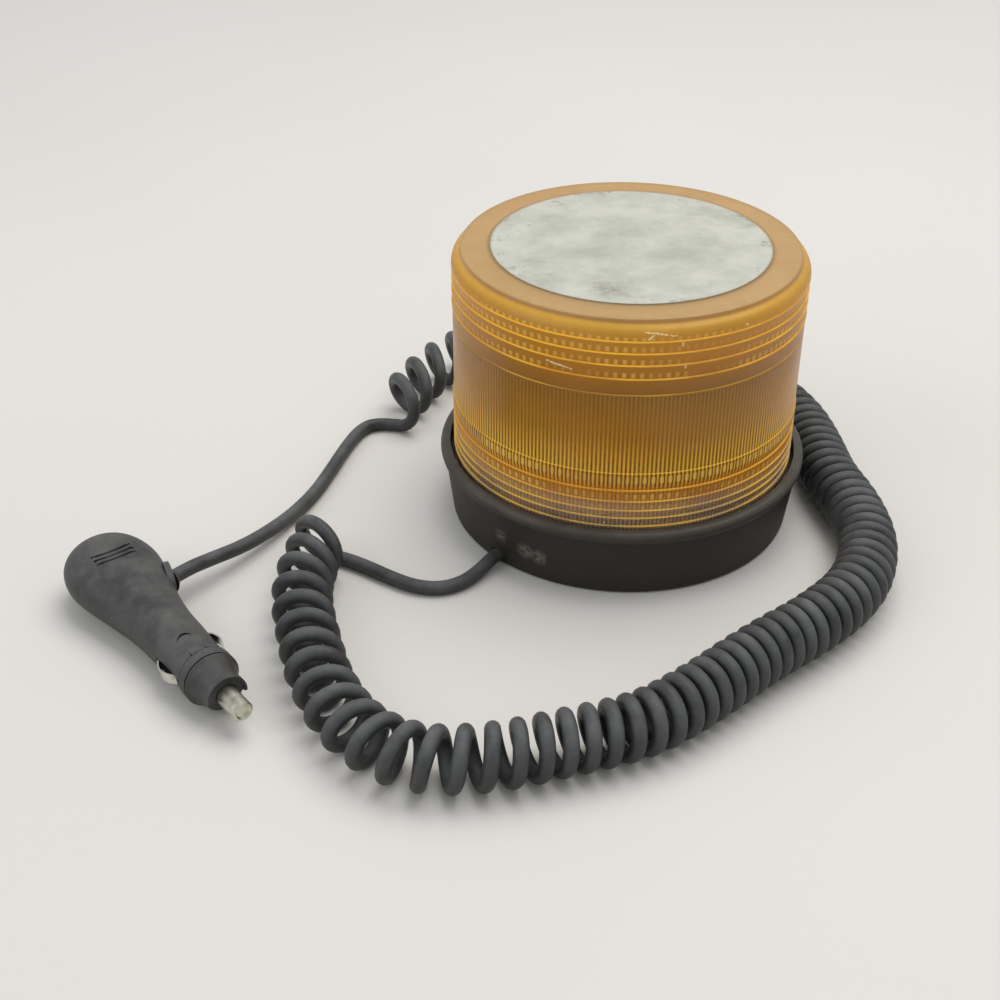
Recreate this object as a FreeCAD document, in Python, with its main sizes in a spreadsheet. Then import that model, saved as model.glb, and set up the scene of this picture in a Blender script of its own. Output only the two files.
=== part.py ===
import FreeCAD, Part

import math
import os
import re

import Sketcher
from FreeCAD import Placement, Rotation, Vector

# Amber strobe beacon on a black magnetic base, with a curly cord and a lighter plug.
# Millimetres, +Z up. The origin is the centre of the pad that the beacon stands on, and the
# cord leaves on the side towards -X and -Y. The driving sizes below go into the sheet, and the
# pieces are bound to its cells.

SIZES = {
    # base shell: a tapered tub with a rounded lip, a raised centre over the magnet
    "lip_wall": 3.9,
    "lip_radius": "=lens_radius + lip_gap + lip_wall",
    "body_step": 1.7,
    "body_top_radius": "=lip_radius - body_step",
    "body_taper": 3.0,
    "foot_radius": "=body_top_radius - body_taper",
    "foot_rim": 16.3,
    "magnet_recess_radius": "=foot_radius - foot_rim",
    "lip_height": 30.5,
    "lip_bead": 2.6,
    "lip_gap": 1.6,
    "foot_gap": 0.3,
    "foot_round": 1.2,
    "body_top_height": 25.1,
    "channel_floor": 2.6,
    "web_bottom": 8.4,
    "web_thickness": 2.6,
    "boss_wall": 3.4,
    "seat_height": 23.9,
    # rubber pad and magnet under the web
    "pad_thickness": 1.4,
    "pad_clearance": 0.4,
    "cup_wall": 2.0,
    "cup_clearance": 1.0,
    "cup_radius": "=magnet_recess_radius - cup_clearance",
    "magnet_radius": "=cup_radius - cup_wall - cup_clearance",
    "cup_gap": 0.1,
    "magnet_bore": 16.5,
    "pole_radius": 15.0,
    "bolt_radius": 3.0,
    "bolt_head_radius": 5.4,
    "bolt_head_height": 2.8,
    "nut_across": 10.0,
    "nut_height": 4.0,
    "bolt_stick_out": 1.0,
    # lens
    "lens_radius": 69.5,
    "lens_top": 115.7,
    "top_inset": 3.9,
    "lens_top_radius": "=lens_radius - top_inset",
    "lens_wall": 3.0,
    "lens_foot": 25.9,
    "lens_foot_step": 2.6,
    "edge_riser": 2.2,
    "edge_lean": 0.7,
    "shoulder_drop": 7.8,
    "shoulder_height": "=lens_top - shoulder_drop",
    "shoulder_arc": 9.0,
    "prism_depth": 0.9,
    "prism_ledge": 1.1,
    "band_depth": 0.35,
    "upper_prism_count": 4.0,
    "upper_prism_top": "=shoulder_height",
    "upper_prism_pitch": 4.9,
    "drum_drop": 29.0,
    "drum_top": "=lens_top - drum_drop",
    "drum_bottom": 54.3,
    "lower_band": 4.4,
    "lower_prism_count": 5.0,
    "lower_prism_top": 47.1,
    "lower_prism_pitch": 3.9,
    "flute_count": 240.0,
    "flute_depth": 0.7,
    "flute_drop": 6.2,
    "flute_top": "=lens_top - flute_drop",
    "flute_bottom": 31.5,
    "skirt_wall": 2.6,
    "skirt_gap": 0.45,
    "skirt_depth": 10.0,
    "seal_gap": 0.15,
    "seal_width": 3.2,
    "label_margin": 11.3,
    "label_radius": "=lens_top_radius - label_margin",
    "label_thickness": 0.3,
    # circuit board and what it carries
    "board_inset": 12.3,
    "board_radius": "=foot_radius - board_inset",
    "board_thickness": 1.6,
    "board_height": 17.4,
    "board_hole": 5.0,
    "standoff_radius": 3.0,
    "standoff_inset": "=board_radius * 12 / 58",
    "standoff_circle": "=board_radius - standoff_inset",
    "standoff_count": 4.0,
    "screw_radius": 1.5,
    "screw_head_radius": 2.8,
    "screw_head_height": 1.9,
    "screw_grip": 4.0,
    "core_length": 22.0,
    "core_depth": 14.0,
    "core_height": 13.0,
    "winding_length": 13.0,
    "winding_overhang": 2.6,
    "transformer_x": "=board_radius * -27 / 58",
    "transformer_y": "=board_radius * 17 / 58",
    "capacitor_radius": 6.6,
    "capacitor_length": "=board_radius * 34 / 58",
    "capacitor_x": "=board_radius * 20 / 58",
    "capacitor_y": "=board_radius * -18 / 58",
    "trigger_radius": 5.2,
    "trigger_height": 11.0,
    "trigger_x": "=board_radius * 27 / 58",
    "trigger_y": "=board_radius * 12 / 58",
    "transistor_width": 10.2,
    "transistor_depth": 4.5,
    "transistor_height": 10.0,
    "transistor_x": "=board_radius * 6 / 58",
    "transistor_y": "=board_radius * 36 / 58",
    "sink_width": 26.0,
    "sink_wall": 1.5,
    "sink_fin": 8.0,
    "sink_height": 12.0,
    "terminal_length": 11.0,
    "terminal_depth": "=board_radius * 8.4 / 58",
    "terminal_height": 9.6,
    "terminal_x": "=board_radius * -30 / 58",
    "terminal_y": "=board_radius * -24 / 58",
    "axial_radius": 1.5,
    "axial_length": 7.5,
    "axial_pitch": 6.0,
    "axial_count": 5.0,
    "axial_x": "=board_radius * -16 / 58",
    "axial_y": "=board_radius * -38 / 58",
    "wire_radius": 0.9,
    "wire_spacing": 2.4,
    # reflector deck over the board
    "deck_inset": 7.5,
    "deck_radius": "=lens_radius - deck_inset",
    "deck_thickness": 1.5,
    "deck_room": 3.9,
    "deck_height": "=board_height + board_thickness + 2 * capacitor_radius + deck_room",
    "deck_rim": 3.0,
    "post_radius": 3.2,
    "post_inset": 8.0,
    "post_circle": "=board_radius - post_inset",
    "post_count": 3.0,
    "post_clearance": 0.5,
    # flash tube in its socket
    "socket_flange": 2.0,
    "socket_radius": 14.0,
    "ear_clearance": 0.4,
    "socket_ear_circle": "=socket_radius + screw_head_radius + ear_clearance",
    "socket_flange_radius": "=socket_ear_circle + screw_head_radius + ear_clearance / 2",
    "socket_height": 11.0,
    "socket_well": 7.0,
    "tube_base_radius": 11.4,
    "tube_base_height": 13.0,
    "tube_fit": 0.3,
    "tube_pin_radius": 1.1,
    "tube_pin_length": 3.0,
    "tube_pin_circle": 6.5,
    "tube_pin_count": 3.0,
    "tube_pin_angle": 30.0,
    "glass_radius": 16.0,
    "glass_wall": 1.2,
    "glass_height": 46.0,
    "glass_collar": 3.0,
    "arc_tube_radius": 2.4,
    "arc_bend_radius": 7.5,
    "arc_leg_length": 24.0,
    # cord: its lines below are drawn for a lip of cord_reach
    "cord_reach": 75.0,
    "cord_radius": 2.8,
    "coil_radius": 11.7,
    "exit_angle": 223.5,
    "exit_height": 4.8,
    "grommet_neck": 3.5,
    "grommet_flange": 4.0,
    "grommet_lip": 0.9,
    "grommet_inside": 1.2,
    "grommet_grip": 3.5,
    # lighter plug, along its own axis: stations run from the finger grip to the tip
    "plug_x": "=lip_radius * -164.3 / 75",
    "plug_y": "=lip_radius * -117.2 / 75",
    "plug_axis_height": 10.8,
    "plug_heading": -52.4,
    "barrel_radius": 10.4,
    "barrel_end": 17.4,
    "spigot_radius": 6.4,
    "spigot_end": 28.6,
    "fuse_radius": 3.17,
    "fuse_cap": 6.0,
    "fuse_start": -22.2,
    "fuse_fit": 0.3,
    "pin_bore": 5.2,
    "tip_radius": 3.95,
    "tip_end": 44.4,
    "tip_flange_radius": 4.8,
    "tip_flange": 2.6,
    "tip_stem_radius": 2.3,
    "tip_fit": 0.3,
    "tip_cup": 0.6,
    "spring_wire": 0.5,
    "spring_turns": 4.0,
    "collar_fit": 0.3,
    "collar_radius": 10.45,
    "collar_ring": 3.8,
    "collar_groove": 0.7,
    "collar_groove_depth": 0.5,
    "collar_neck_radius": 7.4,
    "collar_neck": 30.7,
    "collar_lip_radius": 7.7,
    "collar_end": 33.6,
    "collar_bulge": 14.0,
    "collar_rim": 0.9,
    "collar_recess": 0.8,
    "clip_thickness": 0.6,
    "clip_width": 4.2,
    "clip_rear": 1.0,
    "clip_front": 13.4,
    "clip_foot": 9.4,
    "clip_arc": 8.1,
    "clip_travel": 1.8,
    "clip_fit": 0.4,
    "barrel_roll": 8.0,
    "latch_width": 6.8,
    "latch_groove": 1.0,
    "latch_depth": 1.6,
    "grip_radius": 46.0,
    "grip_depth": 1.6,
    "grip_station": -52.0,
    "grip_groove_count": 3.0,
    "grip_groove_pitch": 2.6,
    "grip_groove_length": 16.0,
    "grip_groove_radius": 0.7,
    "boot_station": -39.6,
    "boot_length": 8.5,
    "boot_height": 6.2,
    "boot_root": 11.0,
    "boot_face": 15.3,
    "boot_tilt": 14.0,
    "boot_lean": -18.0,
    "boot_nose": 1.0,
    "boot_nose_radius": 4.2,
    "plug_screw_radius": 1.4,
    "plug_screw_head": 2.7,
    "plug_screw_rear": -61.0,
    "plug_screw_depth": 8.0,
    "plug_screw_recess": 2.4,
    "pin_start": 10.6,
    "grip_top": 13.2,
    "latch_bend": 7.8,
    "plug_wall": 2.4,
    "plug_boss_radius": 3.6,
    "cavity_drop": 1.2,
    "cavity_rear": -68.0,
    "cavity_front": -33.0,
    "wire_way": "=cavity_front - wire_lead",
    "plug_screw_seat": -8.4,
    "contact_gap": 0.3,
    "contact_plate": 1.0,
    "tip_stem": 12.3,
    "tip_rest": 0.1,
    "collar_straight": 22.6,
    "collar_step": 1.0,
    "boot_rise": 0.6,
    "boot_step": 1.2,
    "boot_proud": 1.2,
    "cord_inside": 7.2,
    "cord_outside": 6.0,
    "cord_straight": 3.0,
    "coil_lift": 0.1,
    "wire_rise": 2.4,
    "wire_run": 5.0,
    "wire_lead": 3.0,
}

# Grip of the plug: (station, half width, half height, rise of the centre over the axis)
GRIP_SECTIONS = [
    (-73.2, 6.0, 4.2, 0.0),
    (-72.2, 9.6, 7.5, 0.3),
    (-68.6, 13.8, 10.4, 1.1),
    (-62.4, 16.9, 11.9, 1.5),
    (-53.6, 18.3, 11.9, 1.2),
    (-44.0, 17.0, 11.2, 0.6),
    (-33.0, 14.4, 10.8, 0.2),
    (-22.0, 12.2, 10.5, 0.1),
    (-10.0, 10.8, 10.4, 0.0),
    (0.0, 10.4, 10.4, 0.0),
]

# Where the cord lies: from the base grommet to the coil, and from the coil to the plug
BASE_LEAD = [
    (-61.6, -63.5, 3.1),
    (-76.6, -70.6, 2.9),
    (-93.6, -64.4, 2.9),
    (-114.3, -50.9, 2.9),
]
COIL_LINE = [
    (-120.9, -46.9),
    (-124.9, -70.0),
    (-124.7, -90.1),
    (-119.7, -111.7),
    (-112.9, -137.3),
    (-99.8, -162.4),
    (-79.1, -177.0),
    (-53.0, -176.0),
    (-26.9, -167.8),
    (-1.8, -159.8),
    (20.3, -142.3),
    (42.4, -121.2),
    (66.5, -102.7),
    (85.6, -81.6),
    (95.0, -54.9),
    (94.2, -27.8),
    (88.2, -3.7),
    (87.2, 22.4),
    (83.8, 46.5),
    (73.5, 71.6),
    (55.5, 95.7),
    (31.4, 115.8),
    (3.2, 128.9),
    (-26.9, 132.9),
    (-56.0, 123.9),
    (-77.1, 102.8),
    (-89.8, 78.7),
    (-97.6, 52.6),
]
PLUG_LEAD = [
    (-91.7, 58.2, 2.9),
    (-102.2, 58.2, 2.9),
    (-111.0, 53.8, 2.9),
    (-116.8, 45.7, 2.9),
    (-118.5, 35.0, 2.9),
    (-121.2, 16.4, 2.9),
    (-128.3, -7.7, 2.9),
    (-141.9, -28.8, 2.9),
    (-153.4, -43.4, 3.6),
    (-162.0, -55.4, 7.2),
]

doc = FreeCAD.newDocument("StrobeBeacon")
sheet = doc.addObject("Spreadsheet::Sheet", "Sizes")
for row, (name, size) in enumerate(SIZES.items(), start=1):
    sheet.set(f"A{row}", name)
    sheet.setAlias(f"B{row}", name)
for row, size in enumerate(SIZES.values(), start=1):
    sheet.set(f"B{row}", str(size))
doc.recompute()

NODES = []


def bound(text):
    """A formula in size names, as an expression on the sheet."""
    names = re.compile(r"[a-z][a-z_]+")
    return names.sub(lambda m: f"Sizes.{m.group()}" if m.group() in SIZES else m.group(), text)


def value(text):
    """What a formula in size names comes to now."""
    return float(sheet.evalExpression(bound(text)))


def count_of(name):
    return int(round(value(name)))


def node(label, piece):
    piece.Label = label
    NODES.append(piece)
    return piece


def spot(label):
    return "shape_" + label


# Sketched bodies


def draw_outline(sketch, points):
    """A closed outline. A point is (across, up), with an arc's radius as a third entry where an
    arc leads to the next point: positive bends to the left of the way along, negative to the right."""
    places = [Vector(value(p[0]), value(p[1]), 0) for p in points]
    ends = []
    for i, point in enumerate(points):
        start, end = places[i], places[(i + 1) % len(points)]
        if len(point) == 2:
            sketch.addGeometry(Part.LineSegment(start, end), False)
            ends.append((1, 2))
            continue
        radius = value(point[2])
        chord = end - start
        side = Vector(-chord.y, chord.x, 0).normalize()
        reach = math.sqrt(radius**2 - (chord.Length / 2) ** 2)
        centre = (start + end) * 0.5 + side * math.copysign(reach, radius)
        first, last = (start, end) if radius > 0 else (end, start)
        angles = [math.atan2(p.y - centre.y, p.x - centre.x) for p in (first, last)]
        circle = Part.Circle(centre, Vector(0, 0, 1), abs(radius))
        sketch.addGeometry(Part.ArcOfCircle(circle, *angles), False)
        ends.append((1, 2) if radius > 0 else (2, 1))
    for i, point in enumerate(points):
        after = (i + 1) % len(points)
        sketch.addConstraint(Sketcher.Constraint("Coincident", i, ends[i][1], after, ends[after][0]))
        for kind, text, axis in (("DistanceX", point[0], -2), ("DistanceY", point[1], -1)):
            if text == "0":
                sketch.addConstraint(Sketcher.Constraint("PointOnObject", i, ends[i][0], axis))
                continue
            index = sketch.addConstraint(Sketcher.Constraint(kind, -1, 1, i, ends[i][0], value(text)))
            sketch.setExpression(f"Constraints[{index}]", bound(text))
        if len(point) == 3:
            index = sketch.addConstraint(Sketcher.Constraint("Radius", i, abs(value(point[2]))))
            sketch.setExpression(f"Constraints[{index}]", bound(f"abs({point[2]})"))


def new_sketch(body, plane, points, raised="0"):
    sketch = body.newObject("Sketcher::SketchObject", body.Name + "_outline")
    origin_plane = next(f for f in body.Origin.OriginFeatures if f.Role == plane)
    sketch.AttachmentSupport = (origin_plane, [""])
    sketch.MapMode = "FlatFace"
    if raised != "0":
        sketch.setExpression("AttachmentOffset.Base.z", bound(raised))
    draw_outline(sketch, points)
    return sketch


def revolved(label, points):
    """A body turned about Z from an outline of (radius, height) points."""
    body = doc.addObject("PartDesign::Body", spot(label))
    sketch = new_sketch(body, "XZ_Plane", points)
    turn = body.newObject("PartDesign::Revolution", body.Name + "_turn")
    turn.Profile = sketch
    turn.ReferenceAxis = (sketch, ["V_Axis"])
    turn.Angle = 360
    return body


def padded(label, plane, points, length, raised="0", midplane=False):
    """A body made by padding an outline."""
    body = doc.addObject("PartDesign::Body", spot(label))
    sketch = new_sketch(body, plane, points, raised)
    pad = body.newObject("PartDesign::Pad", body.Name + "_pad")
    pad.Profile = sketch
    pad.setExpression("Length", bound(length))
    pad.Midplane = midplane
    return body


def ring_outline(inner, outer, low, high):
    return [(inner, low), (outer, low), (outer, high), (inner, high)]


# Primitives and booleans


def place(piece, at, turn=None):
    if turn:
        piece.Placement = Placement(Vector(0, 0, 0), turn)
    for axis, text in zip("xyz", at):
        if text != "0":
            piece.setExpression(f"Placement.Base.{axis}", bound(text))
    return piece


def cylinder(label, radius, height, at=("0", "0", "0"), turn=None):
    piece = doc.addObject("Part::Cylinder", spot(label))
    piece.setExpression("Radius", bound(radius))
    piece.setExpression("Height", bound(height))
    return place(piece, at, turn)


def block(label, length, width, height, at, turn=None):
    """A box centred on x and y, standing on z."""
    piece = doc.addObject("Part::Box", spot(label))
    piece.setExpression("Length", bound(length))
    piece.setExpression("Width", bound(width))
    piece.setExpression("Height", bound(height))
    corner = (f"{at[0]} - ({length}) / 2", f"{at[1]} - ({width}) / 2", at[2])
    return place(piece, corner, turn)


def hexagon(label, across, height, at):
    piece = doc.addObject("Part::Prism", spot(label))
    piece.Polygon = 6
    piece.setExpression("Circumradius", bound(f"({across}) / 2 / cos(30)"))
    piece.setExpression("Height", bound(height))
    return place(piece, at)


def joined(label, *pieces):
    whole = doc.addObject("Part::MultiFuse", spot(label))
    whole.Shapes = list(pieces)
    whole.Refine = True
    return whole


def cut(label, base, *tools):
    whole = doc.addObject("Part::Cut", spot(label))
    whole.Base = base
    whole.Tool = tools[0] if len(tools) == 1 else joined(label + "_tools", *tools)
    whole.Refine = True
    return whole


def common(label, base, tool):
    whole = doc.addObject("Part::Common", spot(label))
    whole.Base = base
    whole.Tool = tool
    return whole


def group(label, pieces):
    """Separate solids that share one node."""
    whole = doc.addObject("Part::Compound", spot(label))
    whole.Links = list(pieces)
    return whole


def on_circle(circle, count, start):
    """Where copies stand round the axis, as formulas."""
    angles = [start + 360.0 * i / count for i in range(count)]
    return [(f"{circle} * cos({a})", f"{circle} * sin({a})") for a in angles]


def screws(label, spots, under_head, grip):
    """Pan-head screws whose heads sit at one height."""
    pieces = []
    for i, (x, y) in enumerate(spots):
        shank = cylinder(f"{label}_shank_{i}", "screw_radius", grip, (x, y, f"{under_head} - ({grip})"))
        head = cylinder(f"{label}_head_{i}", "screw_head_radius", "screw_head_height", (x, y, under_head))
        pieces.append(joined(f"{label}_{i}", shank, head))
    return group(label, pieces)


# Base shell, pad and magnet


def base_shell():
    web_top = "web_bottom + web_thickness"
    boss_radius = "magnet_recess_radius + boss_wall"
    bore = "lens_radius - lens_foot_step + skirt_gap"
    lip_inside = "lens_radius + lip_gap"
    outline = [
        ("0", "web_bottom"),
        ("magnet_recess_radius", "web_bottom"),
        ("magnet_recess_radius", "foot_gap"),
        ("foot_radius - foot_round", "foot_gap", "foot_round * 1.3"),
        ("foot_radius", "foot_gap + foot_round"),
        ("body_top_radius", "body_top_height", "lip_bead * 1.1"),
        ("lip_radius", "lip_height - lip_bead", "lip_bead"),
        ("lip_radius - lip_bead", "lip_height"),
        (lip_inside, "lip_height"),
        (lip_inside, "seat_height"),
        (bore, "seat_height"),
        (bore, "channel_floor"),
        (boss_radius, "channel_floor"),
        (boss_radius, web_top),
        ("0", web_top),
    ]
    shell = revolved("base_shell_tub", outline)
    bolt_hole = cylinder("base_shell_bolt_hole", "bolt_radius", "lip_height")
    cord_hole = cylinder("base_shell_cord_hole", "grommet_neck", "lip_height")
    cord_hole.Placement = exit_frame() * Placement(Vector(0, 0, value("-lip_height / 2")), Rotation())
    node("base_shell", cut("base_shell", shell, bolt_hole, cord_hole))


def wall_lean():
    """How far the base wall leans out, in degrees."""
    rise = value("body_top_height - foot_gap - foot_round")
    return math.degrees(math.atan2(value("body_top_radius - foot_radius"), rise))


def exit_frame():
    """Frame at the outer face of the wall where the cord comes out, its Z pointing out of the wall."""
    rise = value("exit_height - foot_gap - foot_round")
    radius = value("foot_radius") + rise * math.tan(math.radians(wall_lean()))
    turn = Rotation(Vector(0, 0, 1), value("exit_angle")) * Rotation(Vector(0, 1, 0), 90 + wall_lean())
    angle = math.radians(value("exit_angle"))
    return Placement(Vector(radius * math.cos(angle), radius * math.sin(angle), value("exit_height")), turn)


def magnet_stack():
    node("base_pad", cylinder("base_pad", "magnet_recess_radius - pad_clearance", "pad_thickness"))
    face = "pad_thickness + cup_gap"
    cup_outline = [
        ("0", face),
        ("pole_radius", face),
        ("pole_radius", "web_bottom - cup_wall"),
        ("cup_radius - cup_wall", "web_bottom - cup_wall"),
        ("cup_radius - cup_wall", face),
        ("cup_radius", face),
        ("cup_radius", "web_bottom"),
        ("0", "web_bottom"),
    ]
    head_pocket = cylinder("cup_head_pocket", "bolt_head_radius", "bolt_head_height", ("0", "0", face))
    shank_hole = cylinder("cup_shank_hole", "bolt_radius", "web_bottom", ("0", "0", face))
    node("magnet_cup", cut("magnet_cup", revolved("magnet_cup_pan", cup_outline), head_pocket, shank_hole))
    magnet = ring_outline("magnet_bore", "magnet_radius", face, "web_bottom - cup_wall")
    node("magnet_ring", revolved("magnet_ring", magnet))
    nut_face = "web_bottom + web_thickness"
    head_top = f"{face} + bolt_head_height"
    bolt_end = f"{nut_face} + nut_height + bolt_stick_out"
    head = cylinder("bolt_head", "bolt_head_radius", "bolt_head_height", ("0", "0", face))
    hex_key = hexagon("bolt_key", "bolt_radius * 1.6", "bolt_head_height / 2", ("0", "0", face))
    shank = cylinder("bolt_shank", "bolt_radius", f"{bolt_end} - ({head_top})", ("0", "0", head_top))
    node("magnet_bolt", cut("magnet_bolt", joined("magnet_bolt_blank", head, shank), hex_key))
    nut = hexagon("nut_body", "nut_across", "nut_height", ("0", "0", nut_face))
    nut_hole = cylinder("nut_hole", "bolt_radius", "nut_height", ("0", "0", nut_face))
    node("magnet_nut", cut("magnet_nut", nut, nut_hole))


def cord_grommet():
    outline = [
        ("cord_radius", "-grommet_grip - grommet_inside"),
        ("grommet_neck", "-grommet_grip - grommet_inside"),
        ("grommet_neck", "0"),
        ("grommet_flange", "0"),
        ("grommet_flange - grommet_lip / 3", "grommet_lip"),
        ("cord_radius", "grommet_lip"),
    ]
    grommet = revolved("cord_grommet", outline)
    grommet.Placement = exit_frame()
    node("cord_grommet", grommet)


# Circuit board


def circuit_board():
    web_top = "web_bottom + web_thickness"
    board_top = "board_height + board_thickness"
    stand_spots = on_circle("standoff_circle", count_of("standoff_count"), 45.0)
    post_spots = on_circle("post_circle", count_of("post_count"), 90.0)
    holes = [cylinder("board_centre_hole", "board_hole", "board_thickness", ("0", "0", "board_height"))]
    for i, (x, y) in enumerate(stand_spots):
        hole_at = (x, y, "board_height")
        holes.append(cylinder(f"board_screw_hole_{i}", "screw_radius", "board_thickness", hole_at))
    for i, (x, y) in enumerate(post_spots):
        clear = "post_radius + post_clearance"
        holes.append(cylinder(f"board_post_hole_{i}", clear, "board_thickness", (x, y, "board_height")))
    disc = cylinder("board_disc", "board_radius", "board_thickness", ("0", "0", "board_height"))
    node("circuit_board", cut("circuit_board", disc, *holes))
    standoffs = []
    for i, (x, y) in enumerate(stand_spots):
        length = f"board_height - ({web_top})"
        pillar = cylinder(f"standoff_body_{i}", "standoff_radius", length, (x, y, web_top))
        bore = cylinder(
            f"standoff_bore_{i}", "screw_radius", "screw_grip", (x, y, "board_height - screw_grip + board_thickness")
        )
        standoffs.append(cut(f"standoff_{i}", pillar, bore))
    node("board_standoffs", group("board_standoffs", standoffs))
    node("board_screws", screws("board_screws", stand_spots, board_top, "screw_grip"))
    return board_top


def flash_transformer(board_top):
    x, y = "transformer_x", "transformer_y"
    core = block("transformer_core", "core_length", "core_depth", "core_height", (x, y, board_top))
    depth = "core_depth + 2 * winding_overhang"
    lift = f"{board_top} + winding_overhang / 2"
    height = "core_height - winding_overhang"
    winding = block("transformer_winding", "winding_length", depth, height, (x, y, lift))
    softened = doc.addObject("Part::Fillet", spot("transformer_winding_soft"))
    softened.Base = winding
    doc.recompute()
    edges = enumerate(winding.Shape.Edges, start=1)
    corners = [i for i, edge in edges if abs(edge.tangentAt(edge.FirstParameter).z) > 0.9]
    rounding = value("winding_overhang") * 0.8
    softened.Edges = [(i, rounding, rounding) for i in corners]
    node("flash_transformer", joined("flash_transformer", core, softened))


def storage_capacitor(board_top):
    lying = Rotation(Vector(0, 1, 0), 90)
    start = ("capacitor_x - capacitor_length / 2", "capacitor_y", f"{board_top} + capacitor_radius")
    can = cylinder("capacitor_can", "capacitor_radius", "capacitor_length", start, lying)
    groove_at = ("capacitor_x + capacitor_length / 3", "capacitor_y", f"{board_top} + capacitor_radius")
    groove = doc.addObject("Part::Torus", spot("capacitor_groove"))
    groove.setExpression("Radius1", bound("capacitor_radius + axial_radius / 3"))
    groove.setExpression("Radius2", bound("axial_radius * 0.6"))
    place(groove, groove_at, lying)
    node("storage_capacitor", cut("storage_capacitor", can, groove))


def trigger_coil(board_top):
    at = ("trigger_x", "trigger_y", board_top)
    former = cylinder("trigger_former", "trigger_radius", "trigger_height", at)
    window = [
        ("trigger_radius * 0.78", f"{board_top} + trigger_height * 0.15"),
        ("trigger_radius * 1.5", f"{board_top} + trigger_height * 0.15"),
        ("trigger_radius * 1.5", f"{board_top} + trigger_height * 0.85"),
        ("trigger_radius * 0.78", f"{board_top} + trigger_height * 0.85"),
    ]
    waist = revolved("trigger_waist", window)
    waist.Placement = Placement(Vector(value("trigger_x"), value("trigger_y"), 0), Rotation())
    node("trigger_coil", cut("trigger_coil", former, waist))


def power_stage(board_top):
    x = "transistor_x"
    case_at = (x, "transistor_y", board_top)
    case = block("transistor_case", "transistor_width", "transistor_depth", "transistor_height", case_at)
    node("power_transistor", case)
    back = "transistor_y + transistor_depth / 2"
    half = "sink_width / 2"
    outline = [
        (f"{x} - {half}", back),
        (f"{x} + {half}", back),
        (f"{x} + {half}", f"{back} + sink_fin"),
        (f"{x} + {half} - sink_wall", f"{back} + sink_fin"),
        (f"{x} + {half} - sink_wall", f"{back} + sink_wall"),
        (f"{x} - {half} + sink_wall", f"{back} + sink_wall"),
        (f"{x} - {half} + sink_wall", f"{back} + sink_fin"),
        (f"{x} - {half}", f"{back} + sink_fin"),
    ]
    node("heat_sink", padded("heat_sink", "XY_Plane", outline, "sink_height", board_top))


def terminal_block(board_top):
    at = ("terminal_x", "terminal_y", board_top)
    housing = block("terminal_housing", "terminal_length", "terminal_depth", "terminal_height", at)
    wells = []
    for i, sign in enumerate(("-", "+")):
        well_at = (f"terminal_x {sign} wire_spacing", "terminal_y", f"{board_top} + terminal_height / 2")
        wells.append(cylinder(f"terminal_well_{i}", "wire_radius * 1.6", "terminal_height", well_at))
    node("terminal_block", cut("terminal_block", housing, *wells))


def small_components(board_top):
    lying = Rotation(Vector(0, 1, 0), 90)
    pieces = []
    for i in range(count_of("axial_count")):
        at = ("axial_x", f"axial_y + axial_pitch * {i}", f"{board_top} + axial_radius")
        pieces.append(cylinder(f"axial_{i}", "axial_radius", "axial_length", at, lying))
    node("small_components", group("small_components", pieces))


# Deck, socket and flash tube


def deck():
    web_top = "web_bottom + web_thickness"
    spots = on_circle("post_circle", count_of("post_count"), 90.0)
    outline = [
        ("socket_radius", "deck_height"),
        ("deck_radius", "deck_height"),
        ("deck_radius", "deck_height + deck_rim"),
        ("deck_radius - deck_thickness", "deck_height + deck_rim"),
        ("deck_radius - deck_thickness", "deck_height + deck_thickness"),
        ("socket_radius", "deck_height + deck_thickness"),
    ]
    holes = []
    posts = []
    for i, (x, y) in enumerate(spots):
        holes.append(cylinder(f"deck_hole_{i}", "screw_radius", "deck_thickness", (x, y, "deck_height")))
        pillar = cylinder(f"post_body_{i}", "post_radius", f"deck_height - ({web_top})", (x, y, web_top))
        bore_at = (x, y, "deck_height + deck_thickness - screw_grip")
        bore = cylinder(f"post_bore_{i}", "screw_radius", "screw_grip", bore_at)
        posts.append(cut(f"post_{i}", pillar, bore))
    ears = on_circle("socket_ear_circle", 2, 0.0)
    for i, (x, y) in enumerate(ears):
        holes.append(cylinder(f"ear_hole_{i}", "screw_radius", "deck_thickness", (x, y, "deck_height")))
    node("deck_plate", cut("deck_plate", revolved("deck_plate_disc", outline), *holes))
    node("deck_posts", group("deck_posts", posts))
    node("deck_screws", screws("deck_screws", spots, "deck_height + deck_thickness", "screw_grip"))


def pin_spots():
    """Where the flash tube's pins stand, in the socket and in the tube's base alike."""
    return on_circle("tube_pin_circle", count_of("tube_pin_count"), value("tube_pin_angle"))


def tube_socket():
    deck_top = "deck_height + deck_thickness"
    well_floor = f"{deck_top} + socket_height - socket_well"
    outline = [
        ("0", deck_top),
        ("socket_flange_radius", deck_top),
        ("socket_flange_radius", f"{deck_top} + socket_flange"),
        ("socket_radius", f"{deck_top} + socket_flange"),
        ("socket_radius", f"{deck_top} + socket_height"),
        ("tube_base_radius + tube_fit", f"{deck_top} + socket_height"),
        ("tube_base_radius + tube_fit", well_floor),
        ("0", well_floor),
    ]
    holes = []
    for i, (x, y) in enumerate(pin_spots()):
        at = (x, y, f"{well_floor} - tube_pin_length - tube_fit")
        depth = "tube_pin_length + tube_fit"
        holes.append(cylinder(f"pin_hole_{i}", "tube_pin_radius + tube_fit", depth, at))
    ears = on_circle("socket_ear_circle", 2, 0.0)
    for i, (x, y) in enumerate(ears):
        holes.append(cylinder(f"socket_ear_hole_{i}", "screw_radius", "socket_flange", (x, y, deck_top)))
    node("tube_socket", cut("tube_socket", revolved("tube_socket_body", outline), *holes))
    grip = "socket_flange + deck_thickness"
    node("socket_screws", screws("socket_screws", ears, f"{deck_top} + socket_flange", grip))
    return well_floor


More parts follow.
